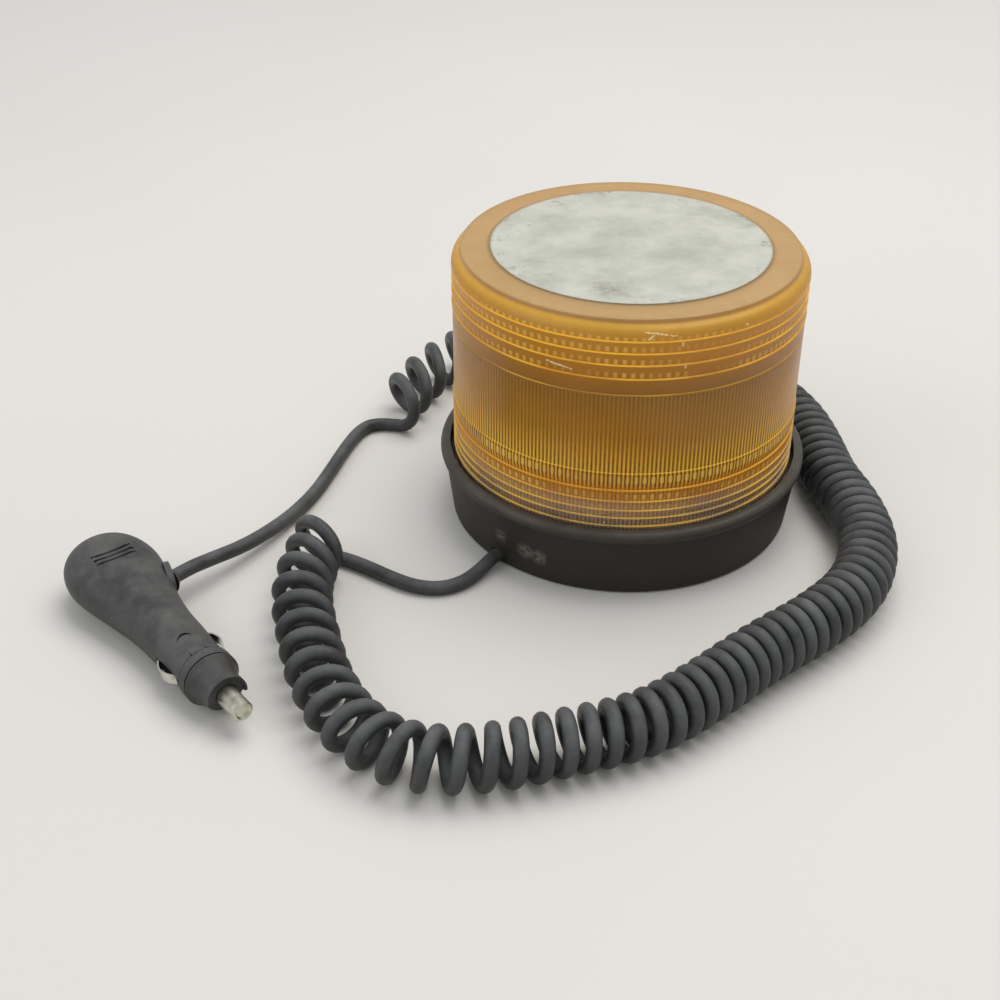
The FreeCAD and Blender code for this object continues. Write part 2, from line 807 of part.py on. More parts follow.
def flash_tube(well_floor):
    bottom = f"{well_floor} + tube_fit / 2"
    base_top = f"{bottom} + tube_base_height"
    body = cylinder("tube_base_body", "tube_base_radius", "tube_base_height", ("0", "0", bottom))
    collar_low = f"{base_top} - glass_collar"
    collar = cylinder("tube_base_collar", "glass_radius", "glass_collar", ("0", "0", collar_low))
    pins = []
    for i, (x, y) in enumerate(pin_spots()):
        at = (x, y, f"{bottom} - tube_pin_length")
        pins.append(cylinder(f"tube_pin_{i}", "tube_pin_radius", "tube_pin_length", at))
    node("tube_base", joined("tube_base", body, collar, *pins))
    glass_top = f"{base_top} + glass_height"
    outer, inner = "glass_radius", "glass_radius - glass_wall"
    outline = [
        (inner, base_top),
        (outer, base_top),
        (outer, f"{glass_top} - {outer}", "glass_radius"),
        ("0", glass_top),
        ("0", f"{glass_top} - glass_wall", f"-({inner})"),
        (inner, f"{glass_top} - {outer}"),
    ]
    node("tube_glass", revolved("tube_glass", outline))
    legs = []
    for i, sign in enumerate(("-", "")):
        at = (f"{sign}arc_bend_radius", "0", base_top)
        legs.append(cylinder(f"arc_leg_{i}", "arc_tube_radius", "arc_leg_length", at))
    bend = doc.addObject("Part::Torus", spot("arc_bend"))
    bend.setExpression("Radius1", bound("arc_bend_radius"))
    bend.setExpression("Radius2", bound("arc_tube_radius"))
    bend.Angle3 = 180
    place(bend, ("0", "0", f"{base_top} + arc_leg_length"), Rotation(Vector(1, 0, 0), 90))
    node("arc_tube", joined("arc_tube", bend, *legs))


# Lens


def prism_steps(top, pitch, count, outer):
    """Points down a stack of ring prisms: each starts at a ledge that slopes out to the full radius."""
    points = []
    for i in range(count):
        ledge = f"{top} - {pitch} * {i}"
        points.append((f"{outer} - prism_depth", ledge))
        points.append((outer, f"{ledge} - prism_ledge"))
    return points


def lens():
    inside = "lens_radius - lens_wall"
    riser_radius = "lens_top_radius + edge_lean"
    outline = [("0", "lens_top"), ("lens_top_radius", "lens_top")]
    outline.append((riser_radius, "lens_top - edge_riser", "-shoulder_arc"))
    outline.append(("lens_radius", "shoulder_height + prism_ledge / 2"))
    steps = count_of("upper_prism_count")
    outline += prism_steps("upper_prism_top", "upper_prism_pitch", steps, "lens_radius")
    outline.append(("lens_radius - prism_depth", "drum_top + prism_ledge"))
    outline.append(("lens_radius - band_depth", "drum_top"))
    outline.append(("lens_radius - band_depth", "drum_bottom"))
    outline.append(("lens_radius", "drum_bottom - band_depth"))
    outline.append(("lens_radius", "drum_bottom - lower_band"))
    steps = count_of("lower_prism_count")
    outline += prism_steps("lower_prism_top", "lower_prism_pitch", steps, "lens_radius")
    outline.append(("lens_radius", "lens_foot"))
    outline.append(("lens_radius - lens_foot_step", "lens_foot"))
    outline.append(("lens_radius - lens_foot_step", "lens_foot - skirt_depth"))
    outline.append(("lens_radius - lens_foot_step - skirt_wall", "lens_foot - skirt_depth"))
    outline.append(("lens_radius - lens_foot_step - skirt_wall", "lens_foot"))
    outline.append((f"{inside} - flute_depth", "flute_bottom"))
    outline.append((f"{inside} - flute_depth", "lens_top - lens_wall"))
    outline.append(("0", "lens_top - lens_wall"))
    blank = revolved("lens_blank", outline)
    flutes = count_of("flute_count")
    outer, inner = value(inside), value(f"{inside} - flute_depth")
    star = []
    for i in range(2 * flutes):
        radius = outer if i % 2 else inner
        angle = math.pi * i / flutes
        star.append(Vector(radius * math.cos(angle), radius * math.sin(angle), value("flute_bottom")))
    star.append(star[0])
    core = doc.addObject("Part::Feature", spot("lens_flutes"))
    core.Shape = Part.Face(Part.makePolygon(star)).extrude(Vector(0, 0, value("flute_top - flute_bottom")))
    node("lens", cut("lens", blank, core))
    node("label_disc", cylinder("label_disc", "label_radius", "label_thickness", ("0", "0", "lens_top")))
    low = "seat_height + seal_gap"
    seal = ring_outline("lens_radius - seal_width / 2", "lens_radius", low, "lens_foot - seal_gap")
    node("lens_seal", revolved("lens_seal", seal))


# Lighter plug, drawn along +Z with +X to the cord's side and +Y up, then laid on the table


def plug_frame():
    heading = math.radians(value("plug_heading"))
    along = Vector(math.cos(heading), math.sin(heading), 0)
    side = Vector(-math.sin(heading), math.cos(heading), 0)
    at = Vector(value("plug_x"), value("plug_y"), value("plug_axis_height"))
    return Placement(at, Rotation(side, Vector(0, 0, 1), along, "ZXY"))


def barrel_frame():
    """The barrel's latch and clips are turned a little about the plug's axis."""
    return Placement(Vector(0, 0, 0), Rotation(Vector(0, 0, 1), value("barrel_roll")))


def on_plug(label, piece):
    """The piece, laid on the table from the plug's own frame."""
    piece.Placement = plug_frame() * piece.Placement
    return node(label, piece)


def grip_loft(label, sections, inset, drop, end=None):
    rings = []
    for i, (station, half_width, half_height, rise) in enumerate(sections):
        ring = doc.addObject("Part::Ellipse", spot(f"{label}_{i}"))
        ring.MajorRadius = half_width - inset
        ring.MinorRadius = half_height - inset - drop
        ring.Placement = Placement(Vector(0, rise - drop, station), Rotation())
        rings.append(ring)
    if end:
        ring = doc.addObject("Part::Ellipse", spot(f"{label}_end"))
        ring.setExpression("MajorRadius", bound(end[0]))
        ring.setExpression("MinorRadius", bound(end[0]))
        rings.append(place(ring, ("0", "0", end[1])))
    loft = doc.addObject("Part::Loft", spot(label))
    loft.Sections = rings
    loft.Solid = True
    loft.Ruled = False
    return loft


def upright(label, radius, height, at):
    """A cylinder along the plug's +Y."""
    return cylinder(label, radius, height, at, Rotation(Vector(1, 0, 0), -90))


def plug_tools():
    """What is taken out of the plug's grip: bores, slots, dish, grooves and pockets."""
    tools = [
        cylinder("fuse_bore", "fuse_radius + fuse_fit", "pin_start - wire_way", ("0", "0", "wire_way")),
        cylinder("pin_bore", "pin_bore", "spigot_end - pin_start", ("0", "0", "pin_start")),
    ]
    slot_floor = "clip_foot - clip_travel - clip_fit"
    slot_length = "barrel_end - clip_rear + clip_fit"
    rolled = []
    for i, sign in enumerate(("-", "")):
        at = (f"{sign}({slot_floor} + barrel_radius / 2)", "0", "clip_rear - clip_fit")
        rolled.append(block(f"clip_slot_{i}", "barrel_radius", "clip_width + 2 * clip_fit", slot_length, at))
    dish = doc.addObject("Part::Sphere", spot("grip_dish"))
    dish.setExpression("Radius", bound("grip_radius"))
    tools.append(place(dish, ("0", "grip_top - grip_depth + grip_radius", "grip_station")))
    lying = Rotation(Vector(0, 1, 0), 90)
    for i in range(count_of("grip_groove_count")):
        station = f"grip_station + grip_groove_pitch * ({i} - 1)"
        at = ("-grip_groove_length / 2", "grip_top - grip_depth", station)
        tools.append(cylinder(f"grip_groove_{i}", "grip_groove_radius", "grip_groove_length", at, lying))
    for i, sign in enumerate(("-", "")):
        at = (f"{sign}(latch_width - latch_groove) / 2", "barrel_radius", "latch_bend")
        length = "barrel_end - latch_bend"
        rolled.append(block(f"latch_leg_{i}", "latch_groove", "2 * latch_depth", length, at))
    low = ("0", "barrel_radius - latch_depth", "latch_bend")
    front_at = ("0", "barrel_radius", "latch_bend")
    arc = cut(
        "latch_arc",
        upright("latch_arc_outer", "latch_width / 2", "2 * latch_depth", low),
        upright("latch_arc_inner", "latch_width / 2 - latch_groove", "2 * latch_depth", low),
        block("latch_front", "latch_width", "4 * latch_depth", "latch_width", front_at),
    )
    front_tools = joined("barrel_tools", arc, *rolled)
    front_tools.Placement = barrel_frame()
    tools.append(front_tools)
    low = "plug_screw_seat - plug_screw_recess"
    well_at = ("0", low, "plug_screw_rear")
    tools.append(upright("plug_screw_well", "plug_screw_head + clip_fit", "plug_screw_recess", well_at))
    depth = "plug_screw_depth - plug_screw_seat"
    hole_at = ("0", "plug_screw_seat", "plug_screw_rear")
    tools.append(upright("plug_screw_hole", "plug_screw_radius", depth, hole_at))
    return tools


def plug_housing():
    grip = grip_loft("grip", GRIP_SECTIONS, 0.0, 0.0, ("barrel_radius", "barrel_end"))
    spigot = cylinder("spigot", "spigot_radius", "spigot_end - barrel_end", ("0", "0", "barrel_end"))
    inner = [s for s in GRIP_SECTIONS if value("cavity_rear") <= s[0] <= value("cavity_front")]
    hollow = grip_loft("grip_hollow", inner, value("plug_wall"), value("cavity_drop"))
    boss_at = ("0", "-4 * plug_boss_radius", "plug_screw_rear")
    boss = upright("screw_boss", "plug_boss_radius", "8 * plug_boss_radius", boss_at)
    cavity = cut("grip_cavity", hollow, boss)
    hollow_side = joined("plug_hollow_side", cavity, boot_pocket())
    hollowed = cut("plug_hollowed", joined("plug_blank", grip, spigot), hollow_side)
    body = cut("plug_body", hollowed, *plug_tools())
    upper_half = ("0", "3 * barrel_radius", "-12 * barrel_radius")
    top = block("plug_top", "6 * barrel_radius", "6 * barrel_radius", "20 * barrel_radius", upper_half)
    on_plug("plug_upper_shell", common("plug_upper_shell", body, top))
    on_plug("plug_lower_shell", cut("plug_lower_shell", body, top))
    height = "plug_screw_depth - plug_screw_seat - plug_screw_radius / 2"
    shank_at = ("0", "plug_screw_seat", "plug_screw_rear")
    shank = upright("plug_screw_shank", "plug_screw_radius", height, shank_at)
    low = ("0", "plug_screw_seat - plug_screw_head / 2", "plug_screw_rear")
    pan = upright("plug_screw_pan", "plug_screw_head", "plug_screw_head / 2", low)
    on_plug("plug_screw", joined("plug_screw", shank, pan))


def boot_frame(lean):
    """Frame on the plug's side, its Z leaning from the side towards the tip by an angle."""
    at = Vector(value("boot_face"), value("boot_rise"), value("boot_station"))
    return Placement(at, Rotation(Vector(0, 1, 0), 90 - value(lean)))


def oval(label, half_long, half_wide, low, high):
    """An oval block in the boot's frame, long along the plug."""
    ring = doc.addObject("Part::Ellipse", spot(label + "_ring"))
    ring.setExpression("MajorRadius", bound(half_long))
    ring.setExpression("MinorRadius", bound(half_wide))
    place(ring, ("0", "0", low))
    pushed = doc.addObject("Part::Extrusion", spot(label))
    pushed.Base = ring
    pushed.Solid = True
    pushed.Dir = Vector(0, 0, 1)
    pushed.setExpression("LengthFwd", bound(f"{high} - ({low})"))
    return pushed


def boot_pocket():
    half_long, half_wide = "boot_length - boot_step", "boot_height - boot_step"
    neck = oval("boot_pocket_neck", half_long, half_wide, "-boot_root", "boot_face")
    face = oval("boot_pocket_face", "boot_length", "boot_height", "-boot_step", "boot_face")
    pocket = joined("boot_pocket", neck, face)
    pocket.Placement = boot_frame("boot_tilt")
    return pocket


def cord_boot():
    neck = oval("boot_neck", "boot_length - boot_step", "boot_height - boot_step", "-boot_root", "0")
    face = oval("boot_flange", "boot_length", "boot_height", "-boot_step", "boot_proud")
    block_on_side = joined("boot_blank", neck, face)
    block_on_side.Placement = boot_frame("boot_tilt")
    sleeve = doc.addObject("Part::Cone", spot("boot_sleeve"))
    sleeve.setExpression("Radius1", bound("boot_nose_radius + boot_step"))
    sleeve.setExpression("Radius2", bound("boot_nose_radius - boot_step / 2"))
    sleeve.setExpression("Height", bound("boot_proud + boot_nose"))
    sleeve.Placement = boot_frame("boot_lean")
    hole = cylinder("boot_bore_hole", "cord_radius", "3 * boot_root", ("0", "0", "-1.5 * boot_root"))
    bore = group("boot_bore", [hole])
    bore.Placement = boot_frame("boot_lean")
    on_plug("cord_boot", cut("cord_boot", joined("boot_solid", block_on_side, sleeve), bore))


def fuse_and_tip():
    low = ("0", "0", "fuse_start")
    caps = [
        cylinder("fuse_cap_rear", "fuse_radius", "fuse_cap", low),
        cylinder("fuse_cap_front", "fuse_radius", "fuse_cap", ("0", "0", "pin_start - fuse_cap")),
        cylinder("fuse_glass", "fuse_radius - clip_thickness / 2", "pin_start - fuse_start", low),
    ]
    on_plug("fuse", joined("fuse", *caps))
    contact_low = "fuse_start - contact_gap - contact_plate"
    plate = cylinder("contact_plate", "fuse_radius", "contact_plate", ("0", "0", contact_low))
    on_plug("fuse_contact", group("fuse_contact", [plate]))
    flange_front = "spigot_end + collar_fit - tip_rest"
    outline = [
        ("0", f"{flange_front} - tip_flange - tip_stem"),
        ("tip_stem_radius", f"{flange_front} - tip_flange - tip_stem"),
        ("tip_stem_radius", f"{flange_front} - tip_flange"),
        ("tip_flange_radius", f"{flange_front} - tip_flange"),
        ("tip_flange_radius", flange_front),
        ("tip_radius", flange_front),
        ("tip_radius", "tip_end - tip_cup"),
        ("tip_radius - tip_cup", "tip_end"),
        ("tip_radius - 2 * tip_cup", "tip_end"),
        ("tip_radius - 3 * tip_cup", "tip_end - tip_cup"),
        ("0", "tip_end - tip_cup"),
    ]
    on_plug("contact_pin", revolved("contact_pin", outline))
    length = value(f"{flange_front} - tip_flange - pin_start")
    wire = value("spring_wire")
    reach = value("tip_stem_radius + tip_fit + spring_wire")
    height = length - 2 * wire
    path = Part.makeHelix(height / value("spring_turns"), height, reach)
    corners = [math.radians(45 * i + 22.5) for i in range(9)]
    ring = Part.makePolygon([Vector(reach + wire * math.cos(a), 0, wire * math.sin(a)) for a in corners])
    coil = Part.Wire(path.Edges).makePipeShell([ring], True, True)
    coil.translate(Vector(0, 0, value("pin_start") + wire))
    spring = doc.addObject("Part::Feature", spot("tip_spring"))
    spring.Shape = coil
    on_plug("tip_spring", spring)


def nose_collar():
    back = "barrel_end + collar_fit"
    bore = "spigot_radius + collar_fit"
    face = "collar_end - collar_recess"
    outline = [
        (bore, back),
        ("collar_radius", back),
        ("collar_radius", f"{back} + collar_ring"),
        ("collar_radius - collar_groove_depth", f"{back} + collar_ring"),
        ("collar_radius - collar_groove_depth", f"{back} + collar_ring + collar_groove"),
        ("collar_radius", f"{back} + collar_ring + collar_groove"),
        ("collar_radius", "collar_straight", "-collar_bulge"),
        ("collar_neck_radius", "collar_neck"),
        ("collar_lip_radius", "collar_neck + clip_thickness"),
        ("collar_lip_radius", "collar_end"),
        ("collar_lip_radius - collar_rim", "collar_end"),
        ("collar_lip_radius - collar_rim", face),
        ("tip_radius + tip_fit", face),
        ("tip_radius + tip_fit", "spigot_end + collar_fit"),
        (bore, "spigot_end + collar_fit"),
    ]
    body = revolved("nose_collar_ring", outline)
    low = ("0", "-collar_lip_radius - collar_step", "collar_neck")
    reach = "2 * collar_lip_radius"
    open_low = block("collar_open", reach, reach, "collar_end - collar_neck", low)
    on_plug("nose_collar", cut("nose_collar", body, open_low))


def side_clips():
    half = "(clip_front - clip_rear) / 2"
    inner_half = f"sqrt((clip_arc - clip_thickness)^2 - clip_arc^2 + ({half})^2)"
    middle = "(clip_front + clip_rear) / 2"
    for label, sign in (("clip_left", ""), ("clip_right", "-")):
        bend = sign or "+"
        outline = [
            (f"{sign}clip_foot", "clip_rear", f"0 {bend} clip_arc"),
            (f"{sign}clip_foot", "clip_front"),
            (f"{sign}clip_foot", f"{middle} + {inner_half}", f"0 - (0 {bend} (clip_arc - clip_thickness))"),
            (f"{sign}clip_foot", f"{middle} - {inner_half}"),
        ]
        clip = doc.addObject("PartDesign::Body", spot(label))
        sketch = new_sketch(clip, "XZ_Plane", outline)
        pad = clip.newObject("PartDesign::Pad", clip.Name + "_pad")
        pad.Profile = sketch
        pad.setExpression("Length", bound("clip_width"))
        pad.Midplane = True
        clip.Placement = barrel_frame()
        on_plug(label, clip)


# Cord


def corner_sizes(points):
    """For each inner point: its turn, the length cut off each run, and the bend's radius."""
    corners = []
    for before, at, after in zip(points, points[1:], points[2:]):
        a, b = at - before, after - at
        turn = a.getAngle(b)
        reach = 0.45 * min(a.Length, b.Length)
        corners.append((turn, reach, reach / math.tan(turn / 2)))
    return corners


def tube_path(points):
    """Straight runs joined by tangent arcs."""
    edges = []
    start = points[0]
    for i, (turn, reach, bend) in enumerate(corner_sizes(points), start=1):
        before = (points[i] - points[i - 1]).normalize()
        after = (points[i + 1] - points[i]).normalize()
        first = points[i] - before * reach
        last = points[i] + after * reach
        inwards = (after - before).normalize()
        centre = points[i] + inwards * (bend / math.cos(turn / 2))
        edges.append(Part.LineSegment(start, first).toShape())
        edges.append(Part.Arc(first, centre - inwards * bend, last).toShape())
        start = last
    edges.append(Part.LineSegment(start, points[-1]).toShape())
    return Part.Wire(edges)


def tube_shape(points, radius):
    ring = Part.Wire(Part.makeCircle(radius, points[0], points[1] - points[0]).Edges)
    return tube_path(points).makePipeShell([ring], True, False)


def tube(label, points, radius):
    """A round cord whose length and tightest bend are printed."""
    piece = doc.addObject("Part::Feature", spot(label))
    piece.Shape = tube_shape(points, radius)
    length = tube_path(points).Length
    tightest = min(bend for _, _, bend in corner_sizes(points))
    print(f"{label}: length {length:.1f}, tightest bend {tightest:.1f}")
    return node(label, piece)


def cords():
    leaving = exit_frame()
    inside = leaving.multVec(Vector(0, 0, -value("cord_inside")))
    outside = leaving.multVec(Vector(0, 0, value("cord_outside")))
    radius = value("cord_radius")
    spread = value("lip_radius / cord_reach")
    base_lead = [Vector(x * spread, y * spread, z) for x, y, z in BASE_LEAD]
    tube("lead_base", [inside, outside] + base_lead, radius)
    height = value("coil_radius + coil_lift")
    coil_line = [Vector(x * spread, y * spread, height) for x, y in COIL_LINE]
    tube("coil_cord", coil_line, value("coil_radius"))
    boot = plug_frame() * boot_frame("boot_lean")
    nose = boot.multVec(Vector(0, 0, value("boot_proud + boot_nose + cord_straight")))
    root = boot.multVec(Vector(0, 0, -value("boot_root") / 2))
    plug_lead = [Vector(x * spread, y * spread, z) for x, y, z in PLUG_LEAD]
    tube("lead_plug", plug_lead + [nose, root], radius)


def supply_wires(board_top):
    """Two cores from the cord's end inside the base up to the terminal block."""
    leaving = exit_frame()
    entry_height = value(board_top) + value("terminal_height") / 3
    crossing = entry_height + value("wire_rise")
    cores = []
    for i, sign in enumerate((-1, 1)):
        aside = sign * value("wire_spacing") / 2
        start = leaving.multVec(Vector(0, aside, -value("cord_inside")))
        turning = leaving.multVec(Vector(0, aside, -value("cord_inside") - value("wire_lead")))
        above = Vector(turning.x, turning.y, crossing)
        end = Vector(value("terminal_x") + sign * value("wire_spacing"), 0, entry_height)
        end.y = value("terminal_y - terminal_depth / 2")
        before = end - Vector(0, value("wire_run"), 0)
        cores.append(tube_shape([start, turning, above, before, end], value("wire_radius")))
    wires = doc.addObject("Part::Feature", spot("supply_wires"))
    wires.Shape = Part.makeCompound(cores)
    node("supply_wires", wires)


def plug_wire():
    """Core from the cord's end in the boot to the contact behind the fuse."""
    boot = boot_frame("boot_lean")
    start = boot.multVec(Vector(0, 0, -value("boot_root") / 2))
    turning = boot.multVec(Vector(0, 0, -value("boot_root + wire_lead")))
    end = Vector(0, 0, value("fuse_start - contact_gap - contact_plate"))
    before = end - Vector(0, 0, value("wire_run"))
    core = doc.addObject("Part::Feature", spot("plug_wire"))
    core.Shape = tube_shape([start, turning, before, end], value("wire_radius"))
    on_plug("plug_wire", core)


def build():
    base_shell()
    magnet_stack()
    cord_grommet()
    board_top = circuit_board()
    flash_transformer(board_top)
    storage_capacitor(board_top)
    trigger_coil(board_top)
    power_stage(board_top)
    terminal_block(board_top)
    small_components(board_top)
    deck()
    flash_tube(tube_socket())
    lens()
    plug_housing()
    cord_boot()
    fuse_and_tip()
    nose_collar()
    side_clips()
    plug_wire()
    cords()
    supply_wires(board_top)
    doc.recompute()
    for item in doc.Objects:
        if "Invalid" in item.State or "Error" in item.State:
            raise RuntimeError(f"{item.Name} doesn't recompute")
    os.makedirs("parts", exist_ok=True)
    for piece in NODES:
        if piece.Shape.isNull() or not piece.Shape.isValid():
            raise RuntimeError(f"{piece.Label} isn't a valid shape")
        piece.Shape.exportStep(os.path.join("parts", piece.Label + ".step"))
    print(f"{len(NODES)} nodes written")


build()
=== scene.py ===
import math

import bmesh
import bpy
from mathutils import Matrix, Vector, noise


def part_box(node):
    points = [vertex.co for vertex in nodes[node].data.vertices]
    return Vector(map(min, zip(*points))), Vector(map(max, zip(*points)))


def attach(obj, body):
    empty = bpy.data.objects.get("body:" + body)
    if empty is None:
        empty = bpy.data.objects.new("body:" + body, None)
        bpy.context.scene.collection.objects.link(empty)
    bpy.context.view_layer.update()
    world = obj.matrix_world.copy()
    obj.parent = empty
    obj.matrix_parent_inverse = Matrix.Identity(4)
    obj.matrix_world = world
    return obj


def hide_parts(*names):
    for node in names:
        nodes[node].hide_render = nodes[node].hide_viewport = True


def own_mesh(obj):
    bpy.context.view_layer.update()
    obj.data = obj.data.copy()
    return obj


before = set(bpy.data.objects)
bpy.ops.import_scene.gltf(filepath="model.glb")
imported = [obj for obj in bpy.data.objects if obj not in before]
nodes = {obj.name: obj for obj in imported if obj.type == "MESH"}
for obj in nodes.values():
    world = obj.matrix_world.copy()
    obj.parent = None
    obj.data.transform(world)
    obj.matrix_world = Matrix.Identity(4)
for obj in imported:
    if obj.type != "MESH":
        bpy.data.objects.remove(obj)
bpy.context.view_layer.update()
mm = 0.001  # the scene is in metres, and the sizes in the dictionaries are in millimetres


# An sRGB hex colour as the linear one that a shader takes
def hexColour(code):
    channels = [int(code[i:i + 2], 16) / 255 for i in (1, 3, 5)]
    return (*[c / 12.92 if c <= 0.04045 else ((c + 0.055) / 1.055) ** 2.4 for c in channels], 1.0)


# A node with its settings. Inputs are given by name, or in order for the sockets that are in use,
# and an input may be a value, a socket or a node.
def addNode(tree, kind, inputs=(), **settings):
    made = tree.nodes.new(kind)
    for name, value in settings.items():
        setattr(made, name, value)
    if isinstance(inputs, dict):
        pairs = [(made.inputs[name], value) for name, value in inputs.items()]
    else:
        pairs = list(zip([socket for socket in made.inputs if socket.enabled], inputs))
    for socket, value in pairs:
        if isinstance(value, bpy.types.Node):
            value = next(out for out in value.outputs if out.enabled)
        if isinstance(value, bpy.types.NodeSocket):
            tree.links.new(value, socket)
        else:
            socket.default_value = value
    return made


# A material with its node tree and the object's own coordinates in millimetres
def newMaterial(name):
    material = bpy.data.materials.new(name)
    material.use_nodes = True
    tree = material.node_tree
    tree.nodes.clear()
    place = addNode(tree, "ShaderNodeTexCoord").outputs["Object"]
    inMillimetres = addNode(tree, "ShaderNodeVectorMath", {0: place, "Scale": 1000.0}, operation="SCALE")
    return material, tree, inMillimetres


# Rubber and dull plastic that has gathered dust: more of it lies on what faces up, in clouds a
# few centimetres across, with fine pale specks
def dustyRubber(name, dark, dusty, share, grain, roughness, specks=0.12):
    material, tree, place = newMaterial(name)
    normal = addNode(tree, "ShaderNodeNewGeometry").outputs["Normal"]
    upwards = addNode(tree, "ShaderNodeSeparateXYZ", (normal,)).outputs["Z"]
    facing = addNode(tree, "ShaderNodeMapRange", (upwards, -0.3, 1.0, 0.15, 1.0))
    clouds = addNode(tree, "ShaderNodeTexNoise", (place, 0.07, 6.0, 0.62))
    patchy = addNode(tree, "ShaderNodeMapRange", (clouds, 0.36, 0.66, share * 0.25, share))
    fine = addNode(tree, "ShaderNodeTexNoise", (place, 1.3, 4.0, 0.6))
    speck = addNode(tree, "ShaderNodeMapRange", (fine, 0.62, 0.72, 0.0, specks))
    settled = addNode(tree, "ShaderNodeMath", (facing, patchy), operation="MULTIPLY")
    dust = addNode(tree, "ShaderNodeMath", (settled, speck), operation="ADD", use_clamp=True)
    colour = addNode(tree, "ShaderNodeMix", (dust, hexColour(dark), hexColour(dusty)), data_type="RGBA")
    shader = addNode(tree, "ShaderNodeBsdfPrincipled", {
        "Base Color": colour,
        "Roughness": addNode(tree, "ShaderNodeMapRange", (dust, 0.0, 0.6, roughness - 0.1, roughness + 0.2)),
        "Specular IOR Level": 0.35,
        "Normal": addNode(tree, "ShaderNodeBump", {"Height": fine, "Strength": 0.35, "Distance": grain * mm}),
    })
    addNode(tree, "ShaderNodeOutputMaterial", (shader,))
    return material


# Smooth faces, with an edge kept sharp where it bends by more than the angle
def sharpByAngle(mesh, degrees):
    shape = bmesh.new()
    shape.from_mesh(mesh)
    limit = math.radians(degrees)
    for face in shape.faces:
        face.smooth = True
    for edge in shape.edges:
        if len(edge.link_faces) == 2 and edge.calc_face_angle(0.0) > limit:
            edge.smooth = False
    shape.to_mesh(mesh)
    shape.free()


# A piece of the scene that moves with a body
def newPiece(name, mesh, material, body):
    piece = bpy.data.objects.new(name, mesh)
    bpy.context.scene.collection.objects.link(piece)
    if material:
        mesh.materials.append(material)
    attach(piece, body)
    return piece


# A plain piece made by a node tree from a mesh, its faces turned outwards
def grownPiece(name, mesh, tree, settings, body, sharpAngle):
    source = bpy.data.objects.new(name + "_source", mesh)
    bpy.context.scene.collection.objects.link(source)
    modifier = source.modifiers.new(tree.name, "NODES")
    modifier.node_group = tree
    identifiers = {item.name: item.identifier for item in tree.interface.items_tree if item.in_out == "INPUT"}
    for label, value in settings.items():
        modifier[identifiers[label]] = value
    bpy.context.view_layer.update()
    made = bpy.data.meshes.new_from_object(source.evaluated_get(bpy.context.evaluated_depsgraph_get()))
    bpy.data.objects.remove(source)
    shape = bmesh.new()
    shape.from_mesh(made)
    bmesh.ops.remove_doubles(shape, verts=shape.verts, dist=0.001 * mm)
    bmesh.ops.recalc_face_normals(shape, faces=shape.faces)
    shape.to_mesh(made)
    shape.free()
    sharpByAngle(made, sharpAngle)
    made.name = name
    return newPiece(name, made, None, body)


# Points along a smooth line that starts and ends at the first and last of the given places
def routeLine(name, points):
    curve = bpy.data.curves.new(name, "CURVE")
    curve.dimensions = "3D"
    spline = curve.splines.new("NURBS")
    spline.points.add(len(points) - 1)
    for point, place in zip(spline.points, points):
        point.co = (*[c * mm for c in place], 1.0)
    spline.order_u = 3
    spline.use_endpoint_u = True
    spline.resolution_u = 24
    line = bpy.data.objects.new(name, curve)
    mesh = bpy.data.meshes.new_from_object(line)
    places = [v.co.copy() for v in mesh.vertices]
    bpy.data.objects.remove(line)
    bpy.data.meshes.remove(mesh)
    return places


# A round tube along the places, closed at both ends
def tubeMesh(name, places, radius, sides):
    shape = bmesh.new()
    up = Vector((0, 0, 1))
    rings = []
    for i, place in enumerate(places):
        ahead = (places[min(i + 1, len(places) - 1)] - places[max(i - 1, 0)]).normalized()
        if i == 0:
            aside = ahead.cross(up).normalized()
        aside = (aside - ahead * aside.dot(ahead)).normalized()
        over = ahead.cross(aside)
        angles = [2 * math.pi * k / sides for k in range(sides)]
        spokes = [aside * math.cos(a) + over * math.sin(a) for a in angles]
        rings.append([shape.verts.new(place + spoke * radius) for spoke in spokes])
    for first, second in zip(rings, rings[1:]):
        for k in range(sides):
            n = (k + 1) % sides
            shape.faces.new((first[k], first[n], second[n], second[k]))
    shape.faces.new(rings[0][::-1])
    shape.faces.new(rings[-1])
    bmesh.ops.recalc_face_normals(shape, faces=shape.faces)
    mesh = bpy.data.meshes.new(name)
    shape.to_mesh(mesh)
    shape.free()
    mesh.shade_smooth()
    return mesh


# Camera, floor and light. The camera's place is in millimetres, and the floor's and the lamps' are
# in metres.

view = {"at": (-50.4, -539.6, 346.8), "pitch": 32.88, "focal": 54.0, "sensor": 36.0}
studio = {
    "floor": ("#DAD7D1", "#E2DFDA"),
    "floorReach": 6.0,
    "worldColour": (0.82, 0.84, 0.87, 1),
    "world": 0.62,
    "key": {
        "at": (0.35, 0.35, 1.5),
        "aim": (0, 0, 0),
        "size": (1.6, 1.2),
        "power": 17,
        "colour": (1.0, 0.98, 0.95),
    },
    "fill": {
        "at": (-1.3, -0.6, 0.9),
        "aim": (0, 0, 0.05),
        "size": (1.2, 1.2),
        "power": 5,
        "colour": (0.95, 0.97, 1.0),
    },
}
camera = bpy.data.objects.new("camera", bpy.data.cameras.new("camera"))
bpy.context.scene.collection.objects.link(camera)
camera.data.lens = view["focal"]
camera.data.sensor_width = view["sensor"]
camera.data.clip_start = 0.01
camera.location = [c * mm for c in view["at"]]
camera.rotation_euler = (math.radians(90 - view["pitch"]), 0, 0)
bpy.context.scene.camera = camera


